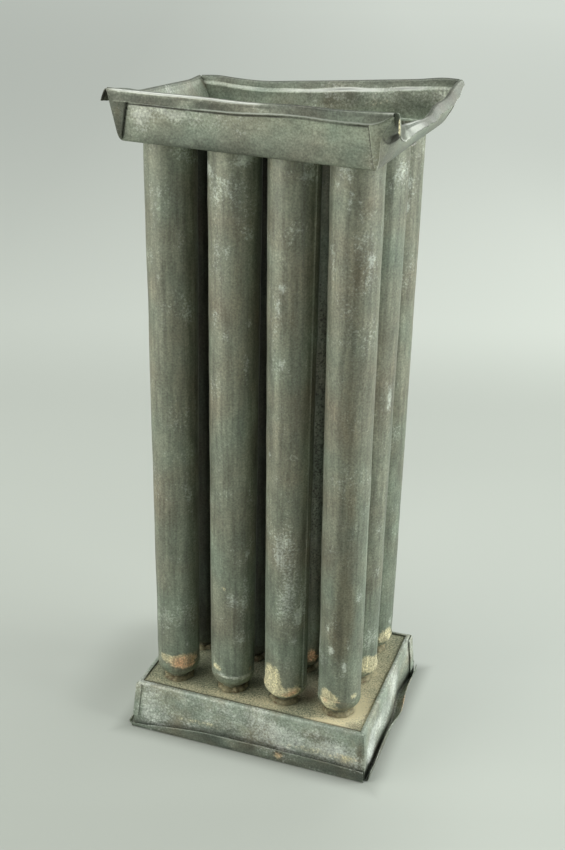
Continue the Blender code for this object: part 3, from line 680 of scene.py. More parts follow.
def cell_outline(tube, half):
    """Give the x and y round a cell of a sheet, CELL_STEPS to a side, and their headings from its tube.

    The inner cells meet half way between tubes, and the outer ones reach to half, the sheet's own size.
    """
    middle = tube_middle(tube)
    step = np.arange(CELL_STEPS) / CELL_STEPS
    lines = []
    for place, pitch, count, end in zip(middle, TUBE_PITCH, (4, 3), half):
        number = round(place / pitch + (count - 1) / 2)
        edges = (np.arange(count + 1) - count / 2) * pitch
        edges[[0, -1]] = -end, end
        low, high = edges[number:number + 2]
        lines.append((low, high, low + (high - low) * step))
    (x_low, x_high, x), (y_low, y_high, y) = lines
    x, y = (np.concatenate(run) for run in ((x, 0 * y + x_high, x_high + x_low - x, 0 * y + x_low),
                                            (0 * x + y_low, y, 0 * x + y_high, y_high + y_low - y)))
    return x, y, np.arctan2(y - middle[1], x - middle[0])


def cell_surface(tube):
    """Give one floor cell: circles round the tube's hole that widen into the cell's own rectangle.

    The point at each angle moves in a straight line from the hole's edge to the rectangle's edge.
    """
    x, y, angle = cell_outline(tube, np.array(TRAY_FLOOR_HALF) - TRAY_BEND)
    edge = np.stack((x, y, FLOOR_HEIGHT + 0 * x), -1) + floor_push(x, y)
    mouth = tube_axis(tube, 1)
    hole = np.stack((mouth[0] + MOUTH_HOLE_RADIUS * np.cos(angle),
                     mouth[1] + MOUTH_HOLE_RADIUS * np.sin(angle),
                     FLOOR_HEIGHT + mouth_lift(tube) + 0 * angle), -1)
    share = np.array((0, 0.12, 0.3, 0.5, 0.75, 1))[:, None, None]
    return hole * (1 - share) + edge * share


def ring_line(corners, side, share):
    """Give points along one side of a four-cornered outline."""
    share = share[..., None]
    return corners[side] * (1 - share) + corners[(side + 1) % 4] * share


def level_line(half_x, half_y, height, side, share):
    """Give points along one side of a level rectangle, which starts at its front left corner."""
    corners = np.array(((-half_x, -half_y, height), (half_x, -half_y, height),
                        (half_x, half_y, height), (-half_x, half_y, height)), float)
    return ring_line(corners, side, share)


def bent(start, fold, end, t):
    """Give a bend of sheet: a quadratic curve from start to end that the fold's line pulls on."""
    return start * (1 - t) ** 2 + 2 * fold * t * (1 - t) + end * t ** 2


def side_of_tray(side, share, rows):
    """Give one side's wall surface, on rows of shares from the floor's edge up, and its top line.

    The bend is a quadratic curve from the floor's edge past the fold; the rest runs straight to the
    top, except that a step pushes the wall outwards a little below its top.
    """
    inner, fold = (level_line(*(np.array(TRAY_FLOOR_HALF) - back), FLOOR_HEIGHT, side, share)
                   for back in (TRAY_BEND, 0))
    inner, fold = (line + floor_push(line[..., 0], line[..., 1]) for line in (inner, fold))
    places, crest, stray = RIM_LINE[side]
    top = ring_line(RIM_CORNERS, side, share) + OUTWARD[side] * along((places, stray), share)[..., None]
    top[..., 2] = along((places, crest), share) - HEM_RADIUS - SHEET / 2
    leave = fold + (top - fold) * (TRAY_BEND * 1.4 / np.linalg.norm(top - fold, axis=-1))[..., None]
    t = rows[:, None, None]
    wall = leave + (top - leave) * np.clip((t - BEND_SHARE) / (1 - BEND_SHARE), 0, 1)
    places, drop, step = STEP_LINE[side]
    below_top = top[..., 2] - wall[..., 2]
    share_up = np.clip(1 - below_top / np.maximum(top[..., 2] - fold[..., 2], 1), 0, 1)
    held_in = along((places, step), share) * share_up
    held_in = held_in * smoothstep((below_top - along((places, drop), share) + 0.7) / 1.6)
    wall = wall - OUTWARD[side] * held_in[..., None]
    return np.where(t < BEND_SHARE, bent(inner, fold, leave, np.clip(t / BEND_SHARE, 0, 1)), wall), top


def rows_through(*stops):
    """Give shares that run through (share, count) stops, with count even steps up to each."""
    runs = [np.linspace(low, high, count + 1)[1:] for (low, _), (high, count) in zip(stops, stops[1:])]
    return np.concatenate(([stops[0][0]], *runs))


BEND_SHARE = 0.2
WALL_ROWS = rows_through((0, 0), (BEND_SHARE, 4), (0.66, 11), (1, 26))


def stacked(*amounts):
    """Put amounts of rub with painted highlight, grime with painted shade, and painted shade together, each
    as wide as the widest.
    """
    return np.stack(np.broadcast_arrays(*amounts), -1)


def wall_touch_and_shade(side, share, wall, top, rise):
    """Give how rubbed, with a painted highlight, a wall is and where shade is painted on it, from the
    distance to its step, flap, folds and foot.

    Distances below the wall's top are in mm; the fold line runs from the foot of each corner to the
    web's width at the top.  Returns the touch and painted shade outside and inside.
    """
    below_top = top[:, 2] - wall[..., 2]
    from_step = below_top - along(STEP_LINE[side][:2], share)
    rubbed_and_highlit = along(STEP_RUB_AND_HIGHLIGHT[side], share) * bell(from_step, 1.0)
    # Painted shadow under the flap's edge, painted shade in the inside corners and beside the corner folds
    shadow_under_flap = bell(below_top - along(HEM_LINE[side][:2], share) - 0.1, 0.5)
    shadow_under_flap = along(UNDER_FLAP_SHADOW[side], share) * shadow_under_flap
    length = np.linalg.norm(RIM_CORNERS[(side + 1) % 4] - RIM_CORNERS[side])
    from_corner = np.minimum(share, 1 - share) * length
    shade_in_corner = bell(from_corner, 0.7) * smoothstep(rise / 0.1)
    if side % 2 == 0:
        web = np.where(share < 0.5, WEB_WIDTHS[side], WEB_WIDTHS[side + 1])
        shadow_by_fold = bell(from_corner - web * rise - 0.2, 0.45) * smoothstep(rise / 0.15)
        shadow_under_flap = np.maximum(shadow_under_flap, shadow_by_fold)
    # Painted shade darkens the outside towards the foot, and the inside below and above the step
    painted_shade = along(FOOT_SHADE[side], share) * smoothstep((0.78 - rise) / 0.75)
    below, above = INSIDE_SHADE[side]
    inner_shade = below + (above - below) * smoothstep(-from_step)
    return stacked(0 * painted_shade, shadow_under_flap, painted_shade), stacked(rubbed_and_highlit, shade_in_corner, inner_shade)


def side_shares(side):
    """Give the even shares along a side of the tray, as many as its cells have steps."""
    count = (4, 3)[side % 2] * CELL_STEPS
    return np.arange(count + 1) / count


def tray_ring():
    """Give the whole wall as one sheet on rows by places round the tray, corner folds and all.

    At both ends of the front and back walls the sheet doubles back twice: a hidden layer runs from
    the corner to the fold line, and an outer one returns to the corner and goes on as the side wall.
    Returns the points and their touch and painted shade outside and inside.
    """
    rise = np.clip((WALL_ROWS - 0.1) / 0.9, 0, 1)[:, None]
    stand = FOLD_GAP * smoothstep(rise / 0.22)
    # Each corner's columns: how many gaps they stand off the wall, and their share of the web's width
    layers = np.array((2, 2, 2, 2, 2, 1.5, 1, 1, 1))
    steps = np.array((0, 0.25, 0.5, 0.75, 0.92, 1.0, 0.92, 0.5, 0.03))
    ring = []
    touches_and_shades = []
    for side in range(4):
        share = side_shares(side)
        wall, top = side_of_tray(side, share, WALL_ROWS)
        touch_and_shade = wall_touch_and_shade(side, share, wall, top, rise)
        if side % 2:
            wrap = 2 * stand[..., None] * smoothstep(1 - np.minimum(share, 1 - share) / 0.03)[:, None]
            wall = wall + wrap * np.where((share < 0.5)[:, None], OUTWARD[side - 1], OUTWARD[(side + 1) % 4])
            ring.append(wall[:, 1:-1])
            touches_and_shades.append([skin[:, 1:-1] for skin in touch_and_shade])
            continue
        length = np.linalg.norm(RIM_CORNERS[(side + 1) % 4] - RIM_CORNERS[side])
        for end in (0, 1):
            web_share = WEB_WIDTHS[side + end] * rise * steps / length
            web = np.stack([np.diagonal(side_of_tray(side, abs(end - column), WALL_ROWS)[0]).T
                            + OUTWARD[side] * stand * layer for column, layer in zip(web_share.T, layers)], 1)
            # The fold and the hidden layer get painted shade in their grime amount, the outer layer and fold
            # the web's painted shade
            fold = np.zeros((len(WALL_ROWS), len(steps), 3))
            fold[:, 5:, 1] = 1
            fold[:, :6, 2] = WEB_SHADE[side + end]
            if end:
                ring += [wall, web[:, ::-1]]
                touches_and_shades += [touch_and_shade, (fold[:, ::-1],) * 2]
            else:
                ring.append(web)
                touches_and_shades.append((fold,) * 2)
    return np.concatenate(ring, 1), *(np.concatenate(skin, 1) for skin in zip(*touches_and_shades))


# Rows of a hem: 9 round its bend, of which number 5 is the first past the crest, and 7 down its flap
BEND_ROWS = 9
PAST_CREST = 5
FLAP_RUN = np.linspace(0, 1, 8)[1:, None, None]


def turned_hem(start, outward, width, lean, upward):
    """Give a hem that turns over a half round from a line of points and runs on as a straight flap.

    With upward at -1 the hem turns down under the line first and its flap stands up.  Lean is the
    flap's angle away from the vertical in degrees, and width runs from the round's crest to the edge.
    """
    lean = np.radians(lean)[:, None]
    angle = np.pi + (lean - np.pi) * np.linspace(0, 1, BEND_ROWS)[:, None, None]
    up = UP * upward
    bend = start + outward * HEM_RADIUS + HEM_RADIUS * (np.cos(angle) * outward + np.sin(angle) * up)
    hang = (width[:, None] - HEM_RADIUS) * FLAP_RUN
    return np.concatenate((bend, bend[-1:] + hang * (np.sin(lean) * outward - np.cos(lean) * up)))


def hem_surface(side, share, top, cuts):
    """Give the hem of one side of the tray, its edge ragged, its ends cut away by two lengths in mm."""
    places, width, lean = HEM_LINE[side]
    ragged = HEM_RAGGED[side] * waves(share * 33, 0, 61 + side)
    width = along((places, width), share) + ragged * smoothstep(np.minimum(share, 1 - share) * 20)
    surface = turned_hem(top, OUTWARD[side], width, along((places, lean), share), 1)
    run = (top[-1] - top[0]) / np.linalg.norm(top[-1] - top[0])
    shift = (cuts[0] * (1 - share) ** 8 - cuts[1] * share ** 8)[:, None]
    torn = 1 + 0.35 * waves(np.arange(len(surface)) / 3, 0, 71 + side)[:, None, None]
    surface[BEND_ROWS:] += run * FLAP_RUN * shift * torn[BEND_ROWS:]
    return surface


def hem_touch_and_shade(share, crest, edge, flap_rub_and_highlight, painted_shade):
    """Give a hem's touch from curves: how rubbed its crest, lower edge and flap are, lightened as a painted
    highlight, and the flap's painted shade.

    The crest's shows past the top of the hem's round, and painted shade covers the round where it is not
    rubbed.
    """
    crest = along(crest, share) * np.array((0, 0, 0, 0, 0.2, 0.8, 1, 0.7, 0.1, 0))[:, None]
    edge = along(edge, share)
    flap = np.ones((6, 1))
    rubbed_and_highlit = np.concatenate((crest, flap * along(flap_rub_and_highlight, share)))
    rubbed_and_highlit[-1] = edge
    rubbed_and_highlit[-2] = np.maximum(rubbed_and_highlit[-2], 0.45 * edge)
    shade_amount = np.concatenate((0.8 - 0.8 * crest, flap * along(painted_shade, share)))
    shade_amount[-1] *= 1 - edge
    return stacked(rubbed_and_highlit, 0 * rubbed_and_highlit, shade_amount)


def shaded_within(worn_and_shaded, grime_and_shade):
    """Give the touch of a hem's inner face: as its outer face up to the crest, with painted shade from there
    on.
    """
    within = worn_and_shaded.copy()
    within[PAST_CREST:] = 0
    within[PAST_CREST:, :, 1] = grime_and_shade
    return within


def weld(parts, merge=0.02):
    """Join grids into points, faces, and the touch and painted shade outside and inside, merging points that
    coincide.

    A part is its points, whether its columns close, and its touch and painted shade outside and inside, three
    amounts at each point.
    """
    builder = bmesh.new()
    layers = [builder.verts.layers.float_vector.new(name) for name in ("outside", "inside")]
    for points, closed, *touches_and_shades in parts:
        verts = [builder.verts.new(p) for p in points.reshape(-1, 3).tolist()]
        for layer, touch_and_shade in zip(layers, touches_and_shades):
            for vert, amounts in zip(verts, touch_and_shade.reshape(-1, 3).tolist()):
                vert[layer] = amounts
        for face in grid_faces(*points.shape[:2], False, closed).tolist():
            builder.faces.new([verts[i] for i in face])
    bmesh.ops.remove_doubles(builder, verts=builder.verts, dist=merge)
    bmesh.ops.dissolve_degenerate(builder, dist=merge / 2, edges=builder.edges)
    bmesh.ops.recalc_face_normals(builder, faces=builder.faces)
    builder.verts.index_update()
    points = np.array([v.co for v in builder.verts])
    faces = [[v.index for v in f.verts] for f in builder.faces]
    touches_and_shades = [np.array([v[layer] for v in builder.verts]) for layer in layers]
    builder.free()
    return points, faces, *touches_and_shades


def sheet_piece(name, points, faces, skins, stains, spots=()):
    """Give a middle surface the sheet's thickness, its touch and painted shade, and its stains, and make it a
    piece.

    skins is the touch and painted shade outside and inside.  The thick sheet's points come as one skin and
    then the other; of each pair the one further from the middle line, measured as the larger share of the
    piece's half length or half width, is outside.
    """
    skins = [skin.copy() for skin in skins]
    for kind, middle, reach, strength in spots:
        for skin in skins:
            skin[:, kind] += strength * near_spot(points, middle, reach)
    mesh = bpy.data.meshes.new(name)
    mesh.from_pydata((points * MM).tolist(), [], faces)
    draft = bpy.data.objects.new(f"{name}_draft", mesh)
    scene.collection.objects.link(draft)
    wall = draft.modifiers.new("sheet", "SOLIDIFY")
    wall.thickness = SHEET * MM
    wall.offset = 0
    settled = bpy.context.evaluated_depsgraph_get()
    thick = bpy.data.meshes.new_from_object(draft.evaluated_get(settled))
    bpy.data.objects.remove(draft)
    thick.name = name
    places = np.empty(3 * len(thick.vertices), np.float32)
    thick.vertices.foreach_get("co", places)
    places = places.reshape(-1, 3)
    pairs = np.abs(places[:, :2]).reshape(2, -1, 2)
    first, second = np.max(pairs / np.max(pairs, axis=(0, 1)), axis=-1)
    is_outside = np.stack((first > second, second >= first))[..., None]
    touch_and_shade = np.clip(np.where(is_outside, *skins), 0, 1).reshape(-1, 3)
    piece = put_in_scene(name, thick, 32)
    lay_amounts(piece, "touch_and_shade", np.concatenate((touch_and_shade, np.ones((len(touch_and_shade), 1))), 1))
    stain = np.zeros((len(places), 4))
    for kind, rows in stains.items():
        for middle, reach, strength in rows:
            stain += strength * near_spot(places / MM, middle, reach)[:, None] * STAIN_KINDS[kind]
    lay_amounts(piece, "stain", np.clip(stain, 0, 1))
    return piece


def make_tray():
    """Join the floor's cells, the wall with its corner folds and the four hems into one folded pan."""
    parts = [(cell, True, 0 * cell, 0 * cell) for cell in map(cell_surface, TUBES)]
    ring, outside, inside = tray_ring()
    parts.append((ring, True, outside, inside))
    for side, cuts in enumerate(((4.0, 1.2), (-1.6, 0.6), (0.6, 0.6), (0.6, 0.6))):
        share = side_shares(side)
        _, top = side_of_tray(side, share, WALL_ROWS)
        worn_and_shaded = hem_touch_and_shade(share, CREST_RUB_AND_HIGHLIGHT[side], EDGE_RUB_AND_HIGHLIGHT[side], FLAP_RUB_AND_HIGHLIGHT[side], FLAP_SHADE[side])
        within = shaded_within(worn_and_shaded, along(HEM_INNER_SHADE[side], share))
        if side == 1:
            # The torn end has no rub and no painted shade on either face
            worn_and_shaded[PAST_CREST:, :1] = within[PAST_CREST:, :1] = 0
        parts.append((hem_surface(side, share, top, cuts), False, worn_and_shaded, within))
    points, faces, *skins = weld(parts)
    return sheet_piece("folded_tray", knocked(points, TRAY_KNOCKS), faces, skins, TRAY_STAINS, TRAY_TOUCH_AND_SHADE)


# Flat tinplate folded by hand: paler than the tubes, with cloudy stains and no drip runs
TRAY_TIN = tarnished_tin("tarnished_folded_tin", "#a9b7a4", "#aaab98", "#e4e8dc", 18, 40, (0.35, 1, 1), 0.12,
                         1.18, 1.5, 0.5, 0.4)
stand_for(make_tray(), "top_tray", TRAY_TIN)

# Mouth solder
# A thin bead of soft solder inside the tray seals each barrel into its hole in the floor.


def ring_bead(middle, inner, width, base, rise, seed):
    """Give a solder bead as a closed grid of section by angle, its width and height wandering.

    The section is a quarter round leaning on the tube: width times cos, rise times sin, closed below.
    """
    angle = np.arange(96) * 2 * np.pi / 96
    wander = 1 + 0.22 * waves(np.cos(angle) * 1.4, np.sin(angle) * 1.4, seed)
    turn = np.linspace(0, np.pi / 2, 9)
    out = np.concatenate((np.cos(turn), (0, 0.5)))[:, None]
    up = np.concatenate((np.sin(turn), (-0.25, -0.3)))[:, None]
    radius = inner + width * out * wander
    return np.stack((middle[0] + radius * np.cos(angle), middle[1] + radius * np.sin(angle),
                     base + rise * up * wander), -1)


def soft_solder(name, clean, dirty, dirt_from, metal, rough):
    """Make a finish of soft solder: soft grey lumps 3 mm across, under residue where noise is high."""
    finish = bpy.data.materials.new(name)
    tree = empty_tree(finish)
    place = add_node(tree, "TexCoord").outputs["Object"]
    lumps, grit = (
        add_node(tree, "TexNoise", {0: place, "Scale": 1 / (size * MM), "Detail": detail, "Roughness": edge})
        for size, detail, edge in ((3, 4, 0.65), (0.9, 3, 0.5)))
    dirt = layer_share(tree, lumps, (), dirt_from, dirt_from + 0.14)
    colour = add_node(tree, "Mix", {0: dirt, 6: linear(clean), 7: linear(dirty)}, data_type="RGBA")
    gain = add_node(tree, "MapRange", (grit, 0.3, 0.7, 0.7, 1.25))
    colour = add_node(tree, "Mix", {0: 1.0, 6: colour, 7: gain}, data_type="RGBA", blend_type="MULTIPLY")
    metallic = add_node(tree, "MapRange", {0: dirt, 3: metal, 4: 0.0})
    roughness = add_node(tree, "MapRange", {0: dirt, 3: rough, 4: 0.85})
    relief = weighted_sum(tree, grit, ((lumps, 3.0),))
    bump = add_node(tree, "Bump", {"Height": relief, "Distance": 0.15 * MM, "Strength": 1.0})
    return close_finish(finish, colour, metallic, roughness, bump)


# Lead and tin solder wiped with the iron: dull light grey with a brown film of old wax
MOUTH_SOLDER = soft_solder("dulled_soft_solder", "#8f9087", "#6f644e", 0.48, 0.6, 0.45)
for number, tube in enumerate(TUBES):
    base = FLOOR_HEIGHT + SHEET / 2 + mouth_lift(tube)
    mouth = tube_axis(tube, 1)
    points = ring_bead(mouth, inner=10.15, width=1.5, base=base, rise=0.7, seed=900 + number)
    bead = make_piece(f"mouth_bead_{tube}", points, 60)
    stand_for(bead, f"mouth_solder_{tube}", MOUTH_SOLDER)

# Base plate
# A flat sheet with twelve holes, soldered under the skirt's lip, that the tips' necks stand in.
# It is the dirtiest piece: old wax and dust have dried on it to a brown sandy film.

PLATE_MIDDLE = 21.3
PLATE_HALF = np.array((51.4, 39.25))
LIP_INNER = np.array((50.4, 38.25))
# Radius of the outer edge of the solder round each neck
BEAD_EDGE = 6.5
# The front lip hides the plate up to here from the usual view, so the grime and painted shade of its joint
# spread further in
LIP_SHOWS_FROM = 36.9
PLATE_STAINS = {
    "crust": (((40, -24, 21.5), (12, 10, 2), 0.95), ((34, -37, 21.5), (8, 3, 2), 0.8),
        ((45, 4, 21.5), (7, 24, 2), 0.4), ((-16, -34, 21.5), (26, 4, 2), 0.35),
        ((8, -32, 21.5), (8, 4, 2), 0.3)),
    "rust": (((22, -20, 21.5), (5, 8, 2), 0.8), ((12, -14, 21.5), (6, 6, 2), 0.5),
        ((-37, -28, 21.5), (10, 6, 2), 0.3), ((0, 12, 21.5), (40, 16, 2), 0.5),
        ((47, -35, 21.5), (4, 3, 2), 0.6)),
}


def plate_cell(tube):
    """Give one cell of the plate: circles round the neck's hole that widen into a rectangle.

    Its touch is grime and painted shade along the skirt's lip, and a darker ring round the neck.
    """
    x, y, angle = cell_outline(tube, PLATE_HALF)
    foot = tube_axis(tube, 0)
    hole = foot + NECK_RADIUS * np.stack((np.cos(angle), np.sin(angle)), -1)
    share = (np.linspace(0, 1, 13) ** 0.9)[:, None, None]
    flat = hole * (1 - share) + np.stack((x, y), -1) * share
    held = smoothstep(np.min(1 - np.abs(flat) / PLATE_HALF, axis=-1) * 12)
    sag = 0.12 * waves(flat[..., 0] / 22, flat[..., 1] / 22, 77) * held
    from_lip = np.minimum(LIP_INNER[0] - np.abs(flat[..., 0]), LIP_INNER[1] - flat[..., 1])
    from_lip = np.minimum(from_lip, flat[..., 1] + LIP_SHOWS_FROM)
    from_bead = np.linalg.norm(flat - foot, axis=-1) - BEAD_EDGE
    grimy_and_shaded = np.maximum(0.65 * smoothstep((0.9 - from_lip) / 0.8), 0.5 * bell(from_bead, 1.3))
    touch_and_shade = stacked(0 * grimy_and_shaded, grimy_and_shaded, 0 * grimy_and_shaded)
    return np.concatenate((flat, (PLATE_MIDDLE + sag)[..., None]), -1), True, touch_and_shade, touch_and_shade


def gritty_film(name):
    """Make the finish of a plate under dried wax and grit.

    Grit of 0.8 mm goes from dark to olive sand; cream wax takes over where its stain plus cloudy noise
    of 12 mm is high, rust where the rust stain is, and grime with painted shade follows the touch layer.
    """
    finish = bpy.data.materials.new(name)
    tree = empty_tree(finish)
    place = add_node(tree, "TexCoord").outputs["Object"]
    _, rust_stain, crust_stain, _ = read_amounts(tree, "stain")
    _, grime_and_shade_touch, _, _ = read_amounts(tree, "touch_and_shade")
    grit, cloud = (
        add_node(tree, "TexNoise", {0: place, "Scale": 1 / (size * MM), "Detail": detail, "Roughness": edge})
        for size, detail, edge in ((0.8, 4, 0.75), (12, 5, 0.65)))
    sand_share = add_node(tree, "MapRange", (grit, 0.3, 0.7))
    cream = layer_share(tree, crust_stain, ((cloud, 0.9), (grit, 1.6)), 1.3, 1.9, 0.95, "LINEAR")
    rust = layer_share(tree, rust_stain, ((cloud, 0.8),), 0.55, 1.3, 0.7, "LINEAR")
    grime_and_shade = layer_share(tree, grime_and_shade_touch, ((grit, 0.5),), 0.42, 1.1, 0.92)
    colour = linear("#5a604c")
    for share, over in ((sand_share, "#b9bc9c"), (cream, "#e6dbb2"), (rust, "#6b5a45"), (grime_and_shade, "#211f18")):
        colour = add_node(tree, "Mix", {0: share, 6: colour, 7: linear(over)}, data_type="RGBA")
    bump = add_node(tree, "Bump", {"Height": grit, "Distance": 0.1 * MM, "Strength": 0.7})
    return close_finish(finish, colour, 0.05, 0.75, bump)


# Tinplate under a film of dried wax and grit: brown-olive, matt, grains of cream sand
points, faces, *skins = weld([plate_cell(tube) for tube in TUBES])
plate = sheet_piece("pierced_plate", points, faces, skins, PLATE_STAINS)
stand_for(plate, "base_plate", gritty_film("waxed_gritty_tinplate"))

# Neck solder
# A rough fillet of soft solder, wax residue and rust round each neck where it stands on the plate.

NECK_SOLDER = soft_solder("rusty_soft_solder", "#8d8768", "#6c6046", 0.5, 0.2, 0.65)
for number, tube in enumerate(TUBES):
    foot = tube_axis(tube, 0)
    points = ring_bead(foot, inner=4.75, width=1.9, base=PLATE_TOP, rise=1.5, seed=1200 + number)
    bead = make_piece(f"neck_bead_{tube}", points, 60)
    stand_for(bead, f"tip_solder_{tube}", NECK_SOLDER)

# Base skirt
# One strip of sheet folded round the base: a lip turned in over the plate, four walls that flare to
# the foot, corner tabs lapped and soldered, and a hem turned up outside.  The right hem has opened.

SKIRT_TOP_HALF = np.array((52.0, 39.85))
SKIRT_FOOT_HALF = np.array((53.9, 41.75))
LIP_HEIGHT = 22.0
SKIRT_BEND = 1.1
# Hem flaps of the skirt: width and lean in degrees along each side
SKIRT_HEM_LINE = (
    ((0, 0.05, 0.14, 0.3, 0.5, 0.65, 0.82, 1), (1.9, 2.3, 3.9, 6.2, 6.6, 6.8, 6.6, 6.2),
     (2, 3, 5, 6, 5, 6, 5, 8)),
    ((0, 0.09, 0.2, 0.33, 0.43, 0.5, 0.59, 0.7, 0.82, 1),
     (5.2, 5.2, 5.0, 4.8, 4.8, 4.7, 4.6, 4.6, 4.8, 4.6), (10, 12, 8, 6, 14, 30, 48, 52, 34, 3)),
    ((0, 0.4, 1), (4.8, 4.6, 4.8), (12, 16, 12)),
    ((0, 0.3, 0.7, 1), (4.8, 4.6, 4.0, 1.6), (12, 14, 6, 0)),
)
# How far the right wall's foot is knocked in, most at three quarters of the way back
FOOT_KNOCK = 2.2
SKIRT_STAINS = {
    "bloom": (((-46, -41, 12), (7, 3, 8), 0.35), ((-28, -41, 9), (18, 3, 4), 0.25),
        ((24, -41, 12), (20, 3, 5), 0.35), ((44, -41, 11), (7, 3, 5), 0.45), ((53, 8, 15), (3, 8, 6), 0.35),
        ((53, -14, 13), (3, 9, 5), 0.5), ((53, -31, 9), (3, 8, 8), 0.7), ((5, -41, 17), (24, 3, 3), 0.2)),
    # The long rust band along the front foot, at (20, -44.5, 2), is rust and painted shade where the hem
    # meets the floor
    "rust": (((15.6, -43, 6.2), (2.8, 4, 1.8), 0.9), ((17, -44, 3.2), (2, 4, 2), 0.4),
        ((20, -44.5, 2), (45, 2, 4), 0.35), ((32, -41, 16), (9, 3, 2), 0.7),
        ((40, -41, 10), (5, 3, 2.5), 0.4), ((51, -41, 13), (2, 3, 8), 0.7), ((55.5, 16, 3), (4, 20, 6), 1),
        ((56, -28, 3), (3, 14, 5), 0.8)),
    "crust": (((15.9, -44, 3.8), (2.6, 4, 2.4), 1), ((28, -41, 9), (14, 3, 2.4), 0.62),
        ((46, -41, 8), (6, 3, 4), 0.6), ((-20, -41, 9), (22, 3, 2), 0.5),
        ((57.5, 16, 3), (2.5, 20, 6), 0.6)),
}
# How rubbed the free edge of each of the skirt's hem flaps is along the side, lightened as a painted
# highlight, and the flap's painted shade
SKIRT_EDGE_RUB_AND_HIGHLIGHT = (((0, 0.5, 1), (0.4, 0.5, 0.1)), 0.4, 0.4, 0.4)
SKIRT_HEM_SHADE = (((0, 0.1, 0.25, 0.4, 0.44, 0.48, 0.54, 0.6, 0.64, 0.7, 0.8, 1),
                   (0.4, 0.5, 0.7, 0.75, 0.35, 0.8, 0.8, 0.4, 0.8, 0.6, 0.9, 0.95)),
                  ((0, 0.5, 1), (0.5, 0.1, 0.2)), 0.5, 0.5)
# Painted shade within each hem: the right one stands open, with light rust past its middle and little shade
# there; the left one's end has little
SKIRT_HEM_INNER_SHADE = (0.9, ((0, 0.3, 0.45, 0.7, 1), (0.95, 0.8, 0.05, 0.2, 0.9)), 0.9,
                   ((0, 0.88, 1), (0.9, 0.9, 0.05)))
# Spots of painted shade, as dark film: which of rubbed, grimy and filmed, middle, reach along x, y and z,
# strength
SKIRT_TOUCH_AND_SHADE = (
    (2, (-20, -41.5, 8), (26, 3, 2.5), 0.25), (2, (52, -41, 10), (1.5, 3, 12), 0.6),
    (2, (-53.5, -41, 12), (1.2, 3, 10), 0.4), (2, (-30, -41, 12), (8, 3, 6), 0.2),
    (2, (6, -41, 12), (9, 3, 5), 0.25), (2, (34, -41, 15.5), (9, 3, 2), 0.4),
)
# Shares of the skirt's rows at which the lip and the bend end
LIP_END = 0.15
BEND_END = 0.3
SKIRT_ROWS = rows_through((0, 0), (LIP_END, 3), (BEND_END, 4), (1, 19))
# Corner tabs: the side that each lies on, its end there, its width and how far it stands off, lowest
# and highest point
CORNER_TABS = ((0, 0, 2.2, 0.45, 4.5, 21.6), (0, 1, 3.6, 0.5, 4.5, 21.6), (2, 0, 3.5, 0.45, 4.5, 21.6),
               (2, 1, 3.5, 0.45, 4.5, 21.6), (1, 1, 5.0, 0.8, 1.0, 21.8))


def skirt_wall(side, share):
    """Give the lip, the bend and the flared wall of one side, on rows from the lip's edge to the foot."""
    lip, before, fold = (level_line(*half, LIP_HEIGHT, side, share)
                         for half in (LIP_INNER, SKIRT_TOP_HALF - SKIRT_BEND, SKIRT_TOP_HALF))
    foot = level_line(*SKIRT_FOOT_HALF, HEM_RADIUS + SHEET / 2, side, share)
    if side == 1:
        foot = foot - OUTWARD[side] * FOOT_KNOCK * bell(share - 0.76, 0.15)[:, None]
    leave = fold + (foot - fold) * (SKIRT_BEND / np.linalg.norm(foot - fold, axis=-1))[:, None]
    t = SKIRT_ROWS[:, None, None]
    down = (SKIRT_ROWS[:, None] - BEND_END) / (1 - BEND_END)
    wall = leave + (foot - leave) * down[..., None]
    # The wall bows by up to 0.22 mm over 30 mm, held at its ends, its bend and its foot
    length = np.linalg.norm(SKIRT_FOOT_HALF) * 1.4
    hold = np.clip(np.minimum(share, 1 - share) * 12, 0, 1)
    hold = hold * np.clip(down * 4, 0, 1) * np.clip((1 - down) * 5, 0, 1)
    bow = 0.22 * hold * waves(share * length / 30, down * 0.8, 41 + side)
    wall = wall + OUTWARD[side] * bow[..., None]
    bend = bent(before, fold, leave, (t - LIP_END) / (BEND_END - LIP_END))
    below_lip = np.where(t <= BEND_END, bend, wall)
    return np.where(t <= LIP_END, lip + (before - lip) * (t / LIP_END), below_lip), foot


def skirt_touch_and_shade(side, share, wall):
    """Give the skirt wall's touch: rubbed with a painted highlight along its top bend, painted shade at the
    corners and just over the hem, and painted shade towards the foot.

    The bend is rows 4 to 7; the hem's edge is the cosine of its lean times its width over the foot.
    """
    rubbed_and_highlit = 0.35 * bell(np.arange(len(wall)) - 6.5, 1.6)[:, None]
    places, width, lean = SKIRT_HEM_LINE[side]
    edge = along((places, width), share) * np.cos(np.radians(along((places, lean), share)))
    from_corner = np.minimum(share, 1 - share) * 100
    grimy_and_shaded = np.maximum(0.45 * bell(wall[..., 2] - edge + 0.3, 0.7), 0.2 * bell(from_corner, 0.6))
    return stacked(rubbed_and_highlit, grimy_and_shaded, 0.5 * smoothstep((7.5 - wall[..., 2]) / 5))


